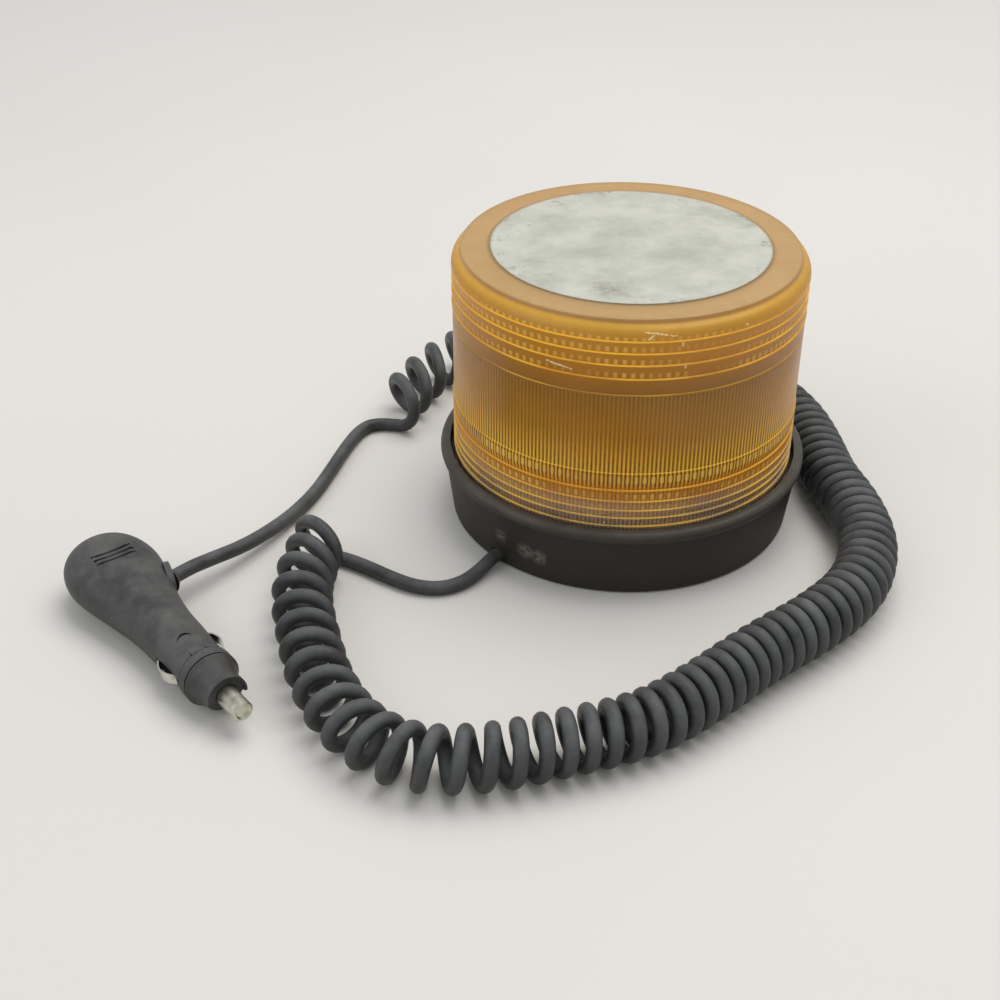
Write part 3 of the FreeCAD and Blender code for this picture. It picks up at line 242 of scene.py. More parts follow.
# Matt painted board, nearly white: it takes the shadow and shows no pattern
def addFloor():
    material, tree, place = newMaterial("pale_floor")
    soft = addNode(tree, "ShaderNodeTexNoise", (place, 0.003))
    shades = [hexColour(code) for code in studio["floor"]]
    pale = addNode(tree, "ShaderNodeMix", (soft, *shades), data_type="RGBA")
    shader = addNode(tree, "ShaderNodeBsdfPrincipled", {"Base Color": pale, "Roughness": 0.6})
    addNode(tree, "ShaderNodeOutputMaterial", (shader,))
    mesh = bpy.data.meshes.new("floor")
    reach = studio["floorReach"]
    corners = [(-reach, -reach, 0), (reach, -reach, 0), (reach, reach, 0), (-reach, reach, 0)]
    mesh.from_pydata(corners, [], [(0, 1, 2, 3)])
    floor = bpy.data.objects.new("floor", mesh)
    bpy.context.scene.collection.objects.link(floor)
    mesh.materials.append(material)


def addArea(name, at, aim, size, power, colour):
    light = bpy.data.lights.new(name, "AREA")
    light.shape = "RECTANGLE"
    light.size, light.size_y = size
    light.energy = power
    light.color = colour
    lamp = bpy.data.objects.new(name, light)
    bpy.context.scene.collection.objects.link(lamp)
    lamp.location = at
    lamp.rotation_euler = (Vector(aim) - Vector(at)).to_track_quat("-Z", "Y").to_euler()


def addLight():
    world = bpy.data.worlds.new("studio")
    bpy.context.scene.world = world
    world.use_nodes = True
    background = world.node_tree.nodes["Background"]
    background.inputs["Color"].default_value = studio["worldColour"]
    background.inputs["Strength"].default_value = studio["world"]
    addArea("key", **studio["key"])
    addArea("fill", **studio["fill"])
    bpy.context.scene.view_settings.view_transform = "Standard"


addFloor()
addLight()
print("stage, camera and light")


# Cord: its line is one spline's points from the base, round the coil's turns, to the plug. The
# coil's pitch and the lean of its turns change along it, in millimetres from its first end.

cord = {
    "radius": 2.8,
    "coilRadius": 11.7,
    "turnPoints": 26,
    "sides": 14,
    "leadStep": 1.5,
    "coilStep": 0.25,
    "wander": 0.02,
    "pitches": [
        (0, 11.9), (60, 11.6), (110, 11.0), (135, 10.3), (165, 9.6), (185, 8.3), (215, 7.4), (250, 6.7),
        (290, 6.35), (430, 6.2), (520, 7.0), (620, 11.0), (690, 16.0), (760, 19.0),
    ],
    "leans": [(0, 0.6), (14, 0.4), (28, 0.2), (42, 0.0), (640, 0.0), (690, 0.7), (720, 0.7), (740, 0.2)],
}
baseLead = [
    (-46.1, -43.8, 5.7),
    (-53.0, -51.1, 4.3),
    (-58.8, -59.8, 3.2),
    (-65.5, -67.4, 2.8),
    (-74.2, -71.0, 2.9),
    (-83.8, -69.3, 2.9),
    (-93.4, -63.4, 2.9),
    (-102.6, -56.5, 2.9),
    (-111.7, -50.9, 2.9),
    (-120.9, -46.9, 2.9),
]
coilLine = [
    (-120.9, -46.9, 11.8),
    (-124.9, -70.0, 11.8),
    (-124.7, -90.1, 11.8),
    (-119.7, -111.7, 11.8),
    (-112.9, -137.3, 11.8),
    (-99.8, -162.4, 11.8),
    (-79.1, -177.0, 11.8),
    (-53.0, -176.0, 11.8),
    (-26.9, -167.8, 11.8),
    (-1.8, -159.8, 11.8),
    (20.3, -142.3, 11.8),
    (42.4, -121.2, 11.8),
    (66.5, -102.7, 11.8),
    (85.6, -81.6, 11.8),
    (95.0, -54.9, 11.8),
    (94.2, -27.8, 11.8),
    (88.2, -3.7, 11.8),
    (87.2, 22.4, 11.8),
    (83.8, 46.5, 11.8),
    (73.5, 71.6, 11.8),
    (55.5, 95.7, 11.8),
    (31.4, 115.8, 11.8),
    (3.2, 128.9, 11.8),
    (-26.9, 132.9, 11.8),
    (-56.0, 123.9, 11.8),
    (-77.1, 102.8, 11.8),
    (-89.8, 78.7, 11.8),
    (-97.6, 55.5, 11.8),
]
plugLead = [
    (-97.6, 55.5, 2.9),
    (-107.4, 57.9, 2.9),
    (-114.4, 50.5, 2.9),
    (-119.4, 35.2, 2.9),
    (-124.0, 16.5, 2.9),
    (-129.3, -2.5, 2.9),
    (-136.7, -19.9, 3.4),
    (-144.9, -35.6, 5.2),
    (-153.6, -49.4, 7.4),
    (-163.3, -60.6, 9.7),
    (-172.2, -70.7, 11.3),
    (-179.4, -81.0, 11.4),
]


# The value of a table of (place, value) rows at a place along it
def valueAt(table, along):
    for (s0, v0), (s1, v1) in zip(table, table[1:]):
        if along <= s1:
            return v0 + (v1 - v0) * (along - s0) / (s1 - s0)
    return table[-1][1]


# Places at even steps along a line
def evenly(places, step):
    out = [places[0]]
    left = step
    for a, b in zip(places, places[1:]):
        length = (b - a).length
        done = 0.0
        while length - done >= left:
            done += left
            out.append(a.lerp(b, done / length))
            left = step
        left -= length - done
    return out


# The cord's line as it winds round the coil's own line
def coilTurns(route):
    step = cord["coilStep"]
    fine = evenly(route, step * mm)
    phases = [0.0]
    for i in range(1, len(fine)):
        phases.append(phases[-1] + step / valueAt(cord["pitches"], i * step))
    turns = round(phases[-1])
    share = turns / phases[-1]
    swing = (cord["coilRadius"] - cord["radius"]) * mm
    up = Vector((0, 0, 1))
    total = turns * cord["turnPoints"]
    places = []
    i = 0
    for k in range(total + 1):
        phase = k / cord["turnPoints"] / share
        while i < len(phases) - 2 and phases[i + 1] < phase:
            i += 1
        part = min(max((phase - phases[i]) / (phases[i + 1] - phases[i]), 0.0), 1.0)
        centre = fine[i].lerp(fine[i + 1], part)
        low, high = max(i - 12, 0), min(i + 12, len(fine) - 1)  # the line's heading over 6 mm
        ahead = (fine[high] - fine[low]).normalized()
        aside = ahead.cross(up)
        turn = 2 * math.pi * k / cord["turnPoints"] - math.pi / 2
        wander = 1 + cord["wander"] * noise.noise((k * 0.013, 3.1, 0.0))  # turns aren't all as wide
        lean = valueAt(cord["leans"], i * step)
        sideways = (aside * wander - ahead * lean) * math.cos(turn)
        places.append(centre + (sideways + up * math.sin(turn)) * swing)
    print(f"coil of {turns} turns")
    return places


def makeCord():
    leadStep = cord["leadStep"] * mm
    first = evenly(routeLine("base_lead_route", baseLead), leadStep)
    turns = coilTurns(routeLine("coil_route", coilLine))
    last = evenly(routeLine("plug_lead_route", plugLead), leadStep)
    places = first[:-1] + turns + last[1:]
    material = dustyRubber("dusty_cord_rubber", "#2A2B2A", "#77797A", 0.62, 0.05, 0.5)
    mesh = tubeMesh("curly_cord", places, cord["radius"] * mm, cord["sides"])
    piece = newPiece("curly_cord", mesh, material, "base")
    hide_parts("lead_base", "coil_cord", "lead_plug")


makeCord()
print("cord")


# Revolved walls: a profile of (radius, height, fluted) points, swept round Z by a node tree
def revolvedTree():
    tree = bpy.data.node_groups.new("revolved_wall", "GeometryNodeTree")
    sockets = {
        "Profile": "Geometry", "Columns": "Int", "Rows": "Int", "Flute Depth": "Float", "Finish": "Material",
    }
    for name, kind in sockets.items():
        tree.interface.new_socket(name=name, in_out="INPUT", socket_type="NodeSocket" + kind)
    tree.interface.new_socket(name="Geometry", in_out="OUTPUT", socket_type="NodeSocketGeometry")
    given = addNode(tree, "NodeGroupInput").outputs
    across = addNode(tree, "ShaderNodeMath", (given["Columns"], 1.0), operation="ADD")
    grid = addNode(tree, "GeometryNodeMeshGrid", {"Vertices X": across, "Vertices Y": given["Rows"]})
    index = addNode(tree, "GeometryNodeInputIndex")
    middle = addNode(tree, "ShaderNodeMath", (index, 0.5), operation="ADD")
    share = addNode(tree, "ShaderNodeMath", (middle, given["Rows"]), operation="DIVIDE")
    column = addNode(tree, "ShaderNodeMath", (share,), operation="FLOOR")
    before = addNode(tree, "ShaderNodeMath", (column, given["Rows"]), operation="MULTIPLY")
    row = addNode(tree, "ShaderNodeMath", (index, before), operation="SUBTRACT")
    position = addNode(tree, "GeometryNodeInputPosition")
    sought = (given["Profile"], position, row)
    sample = addNode(tree, "GeometryNodeSampleIndex", sought, data_type="FLOAT_VECTOR")
    point = addNode(tree, "ShaderNodeSeparateXYZ", (sample,)).outputs
    odd = addNode(tree, "ShaderNodeMath", (column, 2.0), operation="MODULO")
    fluted = addNode(tree, "ShaderNodeMath", (odd, point["Y"]), operation="MULTIPLY")
    inwards = addNode(tree, "ShaderNodeMath", (fluted, given["Flute Depth"]), operation="MULTIPLY")
    radius = addNode(tree, "ShaderNodeMath", (point["X"], inwards), operation="SUBTRACT")
    swept = addNode(tree, "ShaderNodeMath", (column, 2 * math.pi), operation="MULTIPLY")
    angle = addNode(tree, "ShaderNodeMath", (swept, given["Columns"]), operation="DIVIDE")
    cosine = addNode(tree, "ShaderNodeMath", (angle,), operation="COSINE")
    sine = addNode(tree, "ShaderNodeMath", (angle,), operation="SINE")
    x = addNode(tree, "ShaderNodeMath", (radius, cosine), operation="MULTIPLY")
    y = addNode(tree, "ShaderNodeMath", (radius, sine), operation="MULTIPLY")
    place = addNode(tree, "ShaderNodeCombineXYZ", (x, y, point["Z"]))
    moved = addNode(tree, "GeometryNodeSetPosition", {"Geometry": grid, "Position": place})
    closed = addNode(tree, "GeometryNodeMergeByDistance", {"Geometry": moved, "Distance": 0.002 * mm})
    real = addNode(tree, "GeometryNodeRealizeInstances", (closed,))
    dressed = addNode(tree, "GeometryNodeSetMaterial", {"Geometry": real, "Material": given["Finish"]})
    addNode(tree, "NodeGroupOutput", (dressed,))
    return tree


# Lens: amber polycarbonate. Heights are told down from its top, which the frame gives.

lensLow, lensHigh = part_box("lens")
lens = {
    "radius": (lensHigh[0] - lensLow[0]) / 2 / mm,
    "top": lensHigh[2] / mm,
    "topInset": 3.9,
    "riser": 2.2,
    "wall": 3.0,
    "ledges": (7.2, 11.9, 16.6, 22.0),
    "lowerLedges": (68.8, 73.6, 77.6, 81.0, 84.6),
    "ledgeDepth": 0.55,
    "ledgeFall": 0.45,
    "drum": (29.0, 61.4),
    "footBand": 65.8,
    "foot": 89.8,
    "skirt": (2.6, 5.2, 10.0),  # its outer and inner side from the lens's radius, and its length
    "flutes": 272,
    "fluteDepth": 0.85,
}


# Points of a flat arc between two (radius, height) points, its middle off the chord by bulge
def arcPoints(start, end, bulge, count):
    (r0, z0), (r1, z1) = start, end
    dr, dz = r1 - r0, z1 - z0
    length = math.hypot(dr, dz)
    points = []
    for i in range(1, count):
        t = i / count
        push = 4 * bulge * t * (1 - t) / length
        points.append((r0 + dr * t + dz * push, z0 + dz * t - dr * push))
    return points


def lensProfile():
    r, top, depth, fall = lens["radius"], lens["top"], lens["ledgeDepth"], lens["ledgeFall"]
    edge = r - lens["topInset"]
    outer = [(0.0, top), (edge - 11.5, top), (edge - 0.4, top)]  # the flat top, out to its rounded rim
    outer += [(edge + 0.1, top - 0.3), (edge + 0.6, top - 1.9)]
    shoulder = (edge + 0.9, top - lens["riser"])
    ridge = (r, top - lens["ledges"][0] + 0.5)
    outer += [shoulder, *arcPoints(shoulder, ridge, -0.8, 6), ridge]
    for drop in lens["ledges"]:
        outer += [(r - depth, top - drop), (r - depth / 3, top - drop - fall / 2), (r, top - drop - fall)]
    high, low = (top - drop for drop in lens["drum"])
    outer += [(r - depth, high + fall), (r - 0.3, high)]  # the clear drum, set in a little
    outer += [(r - 0.35, low), (r, low - 0.35), (r, top - lens["footBand"])]
    for drop in lens["lowerLedges"]:
        outer += [(r - depth, top - drop), (r - depth / 3, top - drop - fall / 2), (r, top - drop - fall)]
    foot = top - lens["foot"]
    step, inner, length = lens["skirt"]
    outer += [(r, foot), (r - step, foot), (r - step, foot - length)]  # the skirt that screws into the base
    outer += [(r - inner, foot - length), (r - inner, foot + 2)]
    inside = r - lens["wall"]
    points = [(a, b, 0.0) for a, b in outer]
    points += [(inside, top - 84 + 11 * i, 1.0) for i in range(8)]
    ceiling = top - lens["wall"]
    points += [(inside - 0.2, ceiling - 1.6, 0.6), (inside - 1.6, ceiling, 0.0), (inside - 2.4, ceiling, 0.0)]
    points += [(inside - 3.0, ceiling, 0.0), (40.0, ceiling, 0.0), (0.0, ceiling, 0.0)]
    return points


# Weathered polycarbonate, injection moulded in amber: clear in the drum, where the light that the
# flutes refract is painted as bright and dark lines, and dulled by sun and handling on the top and
# the ring prisms. Drops are in millimetres below the lens's top: there the wall has this tint, with
# painted shade on the riser, a painted highlight on the shoulder under it and a painted glow that
# brightens the drum towards its bottom, lets this share of light through and shows its painted
# flute lines and ledge highlights this strongly.

glaze = {
    "tintsWithPaintedLight": (
        (0.0, "#C8A670"), (1.2, "#B48850"), (2.3, "#F8C848"), (4.4, "#E8B038"), (6.8, "#E4A838"),
        (12.0, "#E2A024"), (22.0, "#D08E20"), (28.6, "#C0862A"), (29.6, "#BC8010"), (42.0, "#D89408"),
        (50.0, "#E8A006"), (56.0, "#FFB010"), (61.2, "#FFBE20"), (62.0, "#E08C0A"), (72.0, "#D88404"),
        (90.0, "#A06A12"),
    ),
    "clear": (
        (0.0, 0.35), (2.6, 0.5), (5.0, 0.45), (22.0, 0.5), (29.4, 0.6), (46.0, 0.6), (58.0, 0.35),
        (66.0, 0.24), (90.0, 0.2),
    ),
    "lines": (
        (0.0, 0.0), (28.8, 0.0), (29.6, 0.3), (42.0, 0.35), (50.0, 0.7), (58.0, 1.0), (66.0, 1.0),
        (69.0, 0.3), (90.0, 0.15),
    ),
    "ledgeGlow": ((0.0, 0.9), (30.0, 0.9), (64.0, 0.6), (90.0, 0.4)),
    "dashRows": (
        (5.4, 7.0), (9.2, 11.4), (14.2, 16.2), (19.4, 21.6), (62.6, 65.6), (70.6, 73.0), (75.4, 77.0),
        (79.2, 80.4),
    ),
    "span": 90.0,
    "shades": {
        # of these shades, the flute valleys' is painted shade, and the ridges', the prism glints' and the
        # ledges' are painted highlights
        "stain": "#94672E",
        "valleyShade": "#5C3404",
        "ridge": "#FFD858",
        "paintedGlint": "#FFD060",
        "ledge": "#F2BC3C",
        "scratch": "#ECD6A0",
        "darkening": "#7E6238",
    },
}

# Scratches and chips in the wall, from end to end in millimetres

wallMarks = (
    ((-3.0, -69.0, 112.6), (11.3, -68.2, 110.4)),
    ((1.5, -69.3, 109.4), (4.6, -69.2, 112.2)),
    ((13.8, -68.1, 107.6), (14.2, -68.0, 105.4)),
    ((15.1, -67.8, 99.4), (15.4, -67.7, 97.4)),
    ((35.2, -59.9, 113.0), (37.8, -58.3, 109.8)),
    ((-34.2, -60.5, 97.0), (-23.7, -65.3, 95.2)),
)


def amberPolycarbonate():
    material, tree, place = newMaterial("weathered_amber_polycarbonate")
    shade = {name: hexColour(code) for name, code in glaze["shades"].items()}
    axes = addNode(tree, "ShaderNodeSeparateXYZ", (place,)).outputs
    drop = addNode(tree, "ShaderNodeMath", (lens["top"], axes["Z"]), operation="SUBTRACT")
    along = addNode(tree, "ShaderNodeMath", (drop, glaze["span"]), operation="DIVIDE")
    angle = addNode(tree, "ShaderNodeMath", (axes["Y"], axes["X"]), operation="ARCTAN2")
    clouds = addNode(tree, "ShaderNodeTexNoise", (place, 0.035, 5.0, 0.6))
    fine = addNode(tree, "ShaderNodeTexNoise", (place, 0.9, 5.0, 0.6))

    # the tint ramp holds painted light as well as the amber's colour: shade on the riser, a highlight on the
    # shoulder and the drum's glow
    tint = addNode(tree, "ShaderNodeValToRGB", (along,))
    clear = addNode(tree, "ShaderNodeValToRGB", (along,))
    fluting = addNode(tree, "ShaderNodeValToRGB", (along,))
    glow = addNode(tree, "ShaderNodeValToRGB", (along,))
    rows = addNode(tree, "ShaderNodeValToRGB", (along,))
    tintAndLightStops = [(at, hexColour(code)) for at, code in glaze["tintsWithPaintedLight"]]
    clearness, linedness, glowing = (
        [(at, (share, share, share, 1)) for at, share in glaze[table]]
        for table in ("clear", "lines", "ledgeGlow")
    )
    marks = [(at, (on, on, on, 1)) for row in glaze["dashRows"] for at, on in zip(row, (1.0, 0.0))]
    marks.insert(0, (0.0, (0, 0, 0, 1)))
    ramps = {tint: tintAndLightStops, clear: clearness, fluting: linedness, glow: glowing, rows: marks}
    for node, stops in ramps.items():
        ramp = node.color_ramp
        for at, colour in stops:
            stop = ramp.elements.new(at / glaze["span"])
            stop.color = colour
        ramp.elements.remove(ramp.elements[0])
        ramp.elements.remove(ramp.elements[-1])
    rows.color_ramp.interpolation = "CONSTANT"

    # flutes: painted highlight, a bright line on each ridge, and painted shade, a darker line in each
    # valley, for the light that the flutes refract; stronger low down
    turns = addNode(tree, "ShaderNodeMath", (angle, float(lens["flutes"])), operation="MULTIPLY")
    wave = addNode(tree, "ShaderNodeMath", (turns,), operation="COSINE")
    uneven = addNode(tree, "ShaderNodeMapRange", (fine, 0.3, 0.7, 0.6, 1.0))
    strength = addNode(tree, "ShaderNodeMath", (fluting, uneven), operation="MULTIPLY")
    valleyShade = addNode(tree, "ShaderNodeMapRange", (wave, 0.2, -0.7, 0.0, 1.0))
    paintedValleyShade = addNode(tree, "ShaderNodeMath", (valleyShade, strength), operation="MULTIPLY")
    stain = addNode(tree, "ShaderNodeMapRange", (clouds, 0.42, 0.68, 0.0, 0.3))
    mottled = addNode(tree, "ShaderNodeMix", (stain, tint, shade["stain"]), data_type="RGBA")
    darkened = addNode(tree, "ShaderNodeMix", (paintedValleyShade, mottled, shade["valleyShade"]), data_type="RGBA")
    ridge = addNode(tree, "ShaderNodeMapRange", (wave, 0.3, 0.8, 0.0, 1.0))
    paintedRidgeHighlight = addNode(tree, "ShaderNodeMath", (ridge, strength), operation="MULTIPLY")
    lined = addNode(tree, "ShaderNodeMix", (paintedRidgeHighlight, darkened, shade["ridge"]), data_type="RGBA")

    # painted highlights: bright dashes where every second flute meets a ring prism
    half = addNode(tree, "ShaderNodeMath", (turns, 0.5), operation="MULTIPLY")
    beat = addNode(tree, "ShaderNodeMath", (half,), operation="COSINE")
    paintedGlint = addNode(tree, "ShaderNodeMapRange", (beat, -0.2, 0.5, 0.0, 0.85))
    broken = addNode(tree, "ShaderNodeMapRange", (clouds, 0.38, 0.56))
    some = addNode(tree, "ShaderNodeMath", (paintedGlint, broken), operation="MULTIPLY")
    shown = addNode(tree, "ShaderNodeMath", (some, rows), operation="MULTIPLY")
    withPaintedGlints = addNode(tree, "ShaderNodeMix", (shown, lined, shade["paintedGlint"]), data_type="RGBA")

    # ledges catch the light as thin golden lines
    normal = addNode(tree, "ShaderNodeNewGeometry").outputs["Normal"]
    upwards = addNode(tree, "ShaderNodeSeparateXYZ", (normal,)).outputs["Z"]
    facing = addNode(tree, "ShaderNodeMapRange", (upwards, 0.25, 0.6))
    belowTop = addNode(tree, "ShaderNodeMapRange", (drop, 6.0, 6.6))
    # the painted ledge highlight is broken up in clouds
    worn = addNode(tree, "ShaderNodeMapRange", (clouds, 0.35, 0.6, 0.4, 1.0))
    onLedge = addNode(tree, "ShaderNodeMath", (facing, belowTop), operation="MULTIPLY")
    lit = addNode(tree, "ShaderNodeMath", (worn, glow), operation="MULTIPLY")
    ledge = addNode(tree, "ShaderNodeMath", (onLedge, lit), operation="MULTIPLY")
    edged = addNode(tree, "ShaderNodeMix", (ledge, withPaintedGlints, shade["ledge"]), data_type="RGBA")

    # pale scratches and chips, ragged along their length
    ragged = addNode(tree, "ShaderNodeMapRange", (fine, 0.4, 0.62, 0.08, 0.5))
    scratch = 0.0
    for first, last in wallMarks:
        reach = Vector(last) - Vector(first)
        fromFirst = addNode(tree, "ShaderNodeVectorMath", (place, first), operation="SUBTRACT")
        dot = addNode(tree, "ShaderNodeVectorMath", (fromFirst, reach), operation="DOT_PRODUCT")
        parts = (dot.outputs["Value"], reach.length_squared)
        share = addNode(tree, "ShaderNodeMath", parts, operation="DIVIDE", use_clamp=True)
        onLine = addNode(tree, "ShaderNodeVectorMath", {0: reach, "Scale": share}, operation="SCALE")
        away = addNode(tree, "ShaderNodeVectorMath", (fromFirst, onLine), operation="DISTANCE")
        near = addNode(tree, "ShaderNodeMath", (ragged, away.outputs["Value"]), operation="GREATER_THAN")
        scratch = addNode(tree, "ShaderNodeMath", (near, scratch), operation="MAXIMUM")
    marked = addNode(tree, "ShaderNodeMix", (scratch, edged, shade["scratch"]), data_type="RGBA")

    # the top is darker in a ring just outside the label's edge
    flat = addNode(tree, "ShaderNodeVectorMath", (place, (1, 1, 0)), operation="MULTIPLY")
    fromAxis = addNode(tree, "ShaderNodeVectorMath", (flat,), operation="LENGTH").outputs["Value"]
    atLabel = addNode(tree, "ShaderNodeMapRange", (fromAxis, 56.2, 54.6, 0.0, 0.55))
    onTop = addNode(tree, "ShaderNodeMapRange", (drop, 0.3, 0.1))
    darkening = addNode(tree, "ShaderNodeMath", (atLabel, onTop), operation="MULTIPLY")
    ringDarkened = addNode(tree, "ShaderNodeMix", (darkening, marked, shade["darkening"]), data_type="RGBA")

    # the painted ledge highlights and the scratches let less light straight through
    dull = addNode(tree, "ShaderNodeMath", (ledge, scratch), operation="MAXIMUM")
    dusty = addNode(tree, "ShaderNodeMapRange", (clouds, 0.45, 0.7, 0.0, 0.18))
    least = addNode(tree, "ShaderNodeMath", (dull, 0.55), operation="MULTIPLY")
    lost = addNode(tree, "ShaderNodeMath", (least, dusty), operation="ADD")
    through = addNode(tree, "ShaderNodeMath", (clear, lost), operation="SUBTRACT", use_clamp=True)
    # light that goes on to the pieces inside isn't stopped by the wall
    shadow = addNode(tree, "ShaderNodeLightPath").outputs["Is Shadow Ray"]
    shader = addNode(tree, "ShaderNodeBsdfPrincipled", {
        "Base Color": ringDarkened,
        "Roughness": addNode(tree, "ShaderNodeMapRange", (through, 0.3, 1.0, 0.42, 0.13)),
        "IOR": 1.58,
        "Specular IOR Level": 0.15,
        "Transmission Weight": through,
        "Alpha": addNode(tree, "ShaderNodeMapRange", (shadow, 0.0, 1.0, 1.0, 0.15)),
        "Normal": addNode(tree, "ShaderNodeBump", {"Height": fine, "Strength": 0.15, "Distance": 0.05 * mm}),
    })
    addNode(tree, "ShaderNodeOutputMaterial", (shader,))
    return material


def makeLens():
    profile = lensProfile()
    mesh = bpy.data.meshes.new("lens_profile")
    mesh.from_pydata([(r * mm, fluted, z * mm) for r, z, fluted in profile], [], [])
    settings = {
        "Columns": 2 * lens["flutes"],
        "Rows": len(profile),
        "Flute Depth": lens["fluteDepth"] * mm,
        "Finish": amberPolycarbonate(),
    }
    piece = grownPiece("amber_lens", mesh, revolvedTree(), settings, "lens", 24)
    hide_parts("lens")
    print("lens of", len(piece.data.polygons), "faces")


makeLens()


# Solids of the frame are shown as they are, in the finish of their material
def dress(material, *names):
    for name in names:
        mesh = nodes[name].data
        mesh.materials.clear()
        mesh.materials.append(material)


# Injection-moulded plastic and other smooth coats: an even colour, a soft sheen from the mould's
# own fine grain, and slightly paler or duller patches where it has aged
def mouldedPlastic(name, colour, worn, roughness, grain=0.03):
    material, tree, place = newMaterial(name)
    patches = addNode(tree, "ShaderNodeTexNoise", (place, 0.08, 5.0, 0.55))
    fine = addNode(tree, "ShaderNodeTexNoise", (place, 2.2, 3.0, 0.55))
    aged = addNode(tree, "ShaderNodeMapRange", (patches, 0.35, 0.75))
    shade = addNode(tree, "ShaderNodeMix", (aged, hexColour(colour), hexColour(worn)), data_type="RGBA")
    sheen = addNode(tree, "ShaderNodeMapRange", (fine, 0.3, 0.7, roughness - 0.06, roughness + 0.08))
    shader = addNode(tree, "ShaderNodeBsdfPrincipled", {
        "Base Color": shade,
        "Roughness": sheen,
        "Normal": addNode(tree, "ShaderNodeBump", {"Height": fine, "Strength": 0.3, "Distance": grain * mm}),
        "Specular IOR Level": 0.5,
    })
    addNode(tree, "ShaderNodeOutputMaterial", (shader,))
    return material


# Plated, drawn or extruded metal: it mirrors softly, and is duller and darker where it is stained
def metalFinish(name, colour, stained, roughness, grain):
    material, tree, place = newMaterial(name)
    patches = addNode(tree, "ShaderNodeTexNoise", (place, 0.25, 4.0, 0.55))
    fine = addNode(tree, "ShaderNodeTexNoise", (place, 3.0, 2.0, 0.55))
    aged = addNode(tree, "ShaderNodeMapRange", (patches, 0.45, 0.8))
    shade = addNode(tree, "ShaderNodeMix", (aged, hexColour(colour), hexColour(stained)), data_type="RGBA")
    shader = addNode(tree, "ShaderNodeBsdfPrincipled", {
        "Base Color": shade,
        "Metallic": 1.0,
        "Roughness": addNode(tree, "ShaderNodeMapRange", (fine, 0.3, 0.7, roughness - 0.05, roughness + 0.1)),
        "Normal": addNode(tree, "ShaderNodeBump", {"Height": fine, "Strength": 0.25, "Distance": grain * mm}),
    })
    addNode(tree, "ShaderNodeOutputMaterial", (shader,))
    return material


# Drawn or blown glass: clear, with sharp highlights that a thin film of dust softens in places
def clearGlass(name, tint, roughness):
    material, tree, place = newMaterial(name)
    film = addNode(tree, "ShaderNodeTexNoise", (place, 0.2, 3.0, 0.55))
    shader = addNode(tree, "ShaderNodeBsdfPrincipled", {
        "Base Color": hexColour(tint),
        "Roughness": addNode(tree, "ShaderNodeMapRange", (film, 0.3, 0.7, roughness, roughness + 0.06)),
        "IOR": 1.46,
        "Transmission Weight": 1.0,
    })
    addNode(tree, "ShaderNodeOutputMaterial", (shader,))
    return material


# Vinyl label film, off-white and bare: grey clouds of grime, heavier towards its edge, and one
# dark smear towards the front. Its places are in millimetres from the lens's axis.

labelMarks = {
    "smear": (-11.7, -42.6, 0),
    "smearWidth": 9.0,
    "edge": 54.3,
    "rim": 0.9,
    "shades": {"clean": "#C7C7BA", "worn": "#ADADA0", "dirt": "#77756A", "spots": "#8F7B58"},
}


def smudgedFilm():
    material, tree, place = newMaterial("smudged_label_film")
    shade = {name: hexColour(code) for name, code in labelMarks["shades"].items()}
    edge = labelMarks["edge"]
    clouds = addNode(tree, "ShaderNodeTexNoise", (place, 0.05, 7.0, 0.66))
    smear = addNode(tree, "ShaderNodeTexNoise", (place, 0.16, 6.0, 0.72))
    specks = addNode(tree, "ShaderNodeTexNoise", (place, 1.1, 2.0))
    worn = addNode(tree, "ShaderNodeMapRange", (clouds, 0.4, 0.66))
    base = addNode(tree, "ShaderNodeMix", (worn, shade["clean"], shade["worn"]), data_type="RGBA")
    flat = addNode(tree, "ShaderNodeVectorMath", (place, (1, 1, 0)), operation="MULTIPLY")
    fromAxis = addNode(tree, "ShaderNodeVectorMath", (flat,), operation="LENGTH").outputs["Value"]
    nearEdge = addNode(tree, "ShaderNodeMapRange", (fromAxis, edge - 20, edge, 0.68, 0.54))
    darkening = addNode(tree, "ShaderNodeMath", (smear, nearEdge), operation="SUBTRACT")
    stained = addNode(tree, "ShaderNodeMapRange", (darkening, 0.0, 0.14, 0.0, 0.75))
    aside = addNode(tree, "ShaderNodeVectorMath", (flat, labelMarks["smear"]), operation="DISTANCE")
    away = aside.outputs["Value"]
    close = addNode(tree, "ShaderNodeMapRange", (away, labelMarks["smearWidth"], 1.5, 0.0, 1.0))
    rubbed = addNode(tree, "ShaderNodeMapRange", (smear, 0.38, 0.62, 0.1, 0.95))
    patch = addNode(tree, "ShaderNodeMath", (close, rubbed), operation="MULTIPLY")
    dirt = addNode(tree, "ShaderNodeMath", (stained, patch), operation="MAXIMUM")
    dirty = addNode(tree, "ShaderNodeMix", (dirt, base, shade["dirt"]), data_type="RGBA")
    speck = addNode(tree, "ShaderNodeMapRange", (specks, 0.7, 0.76, 0.0, 0.5))
    # a thin brownish ring at the label's very edge
    rim = addNode(tree, "ShaderNodeMapRange", (fromAxis, edge - labelMarks["rim"], edge, 0.0, 0.55))
    spots = addNode(tree, "ShaderNodeMath", (speck, rim), operation="MAXIMUM")
    shader = addNode(tree, "ShaderNodeBsdfPrincipled", {
        "Base Color": addNode(tree, "ShaderNodeMix", (spots, dirty, shade["spots"]), data_type="RGBA"),
        "Roughness": addNode(tree, "ShaderNodeMapRange", (smear, 0.3, 0.7, 0.38, 0.62)),
        "Normal": addNode(tree, "ShaderNodeBump", {"Height": smear, "Strength": 0.15, "Distance": 0.04 * mm}),
    })
    addNode(tree, "ShaderNodeOutputMaterial", (shader,))
    return material


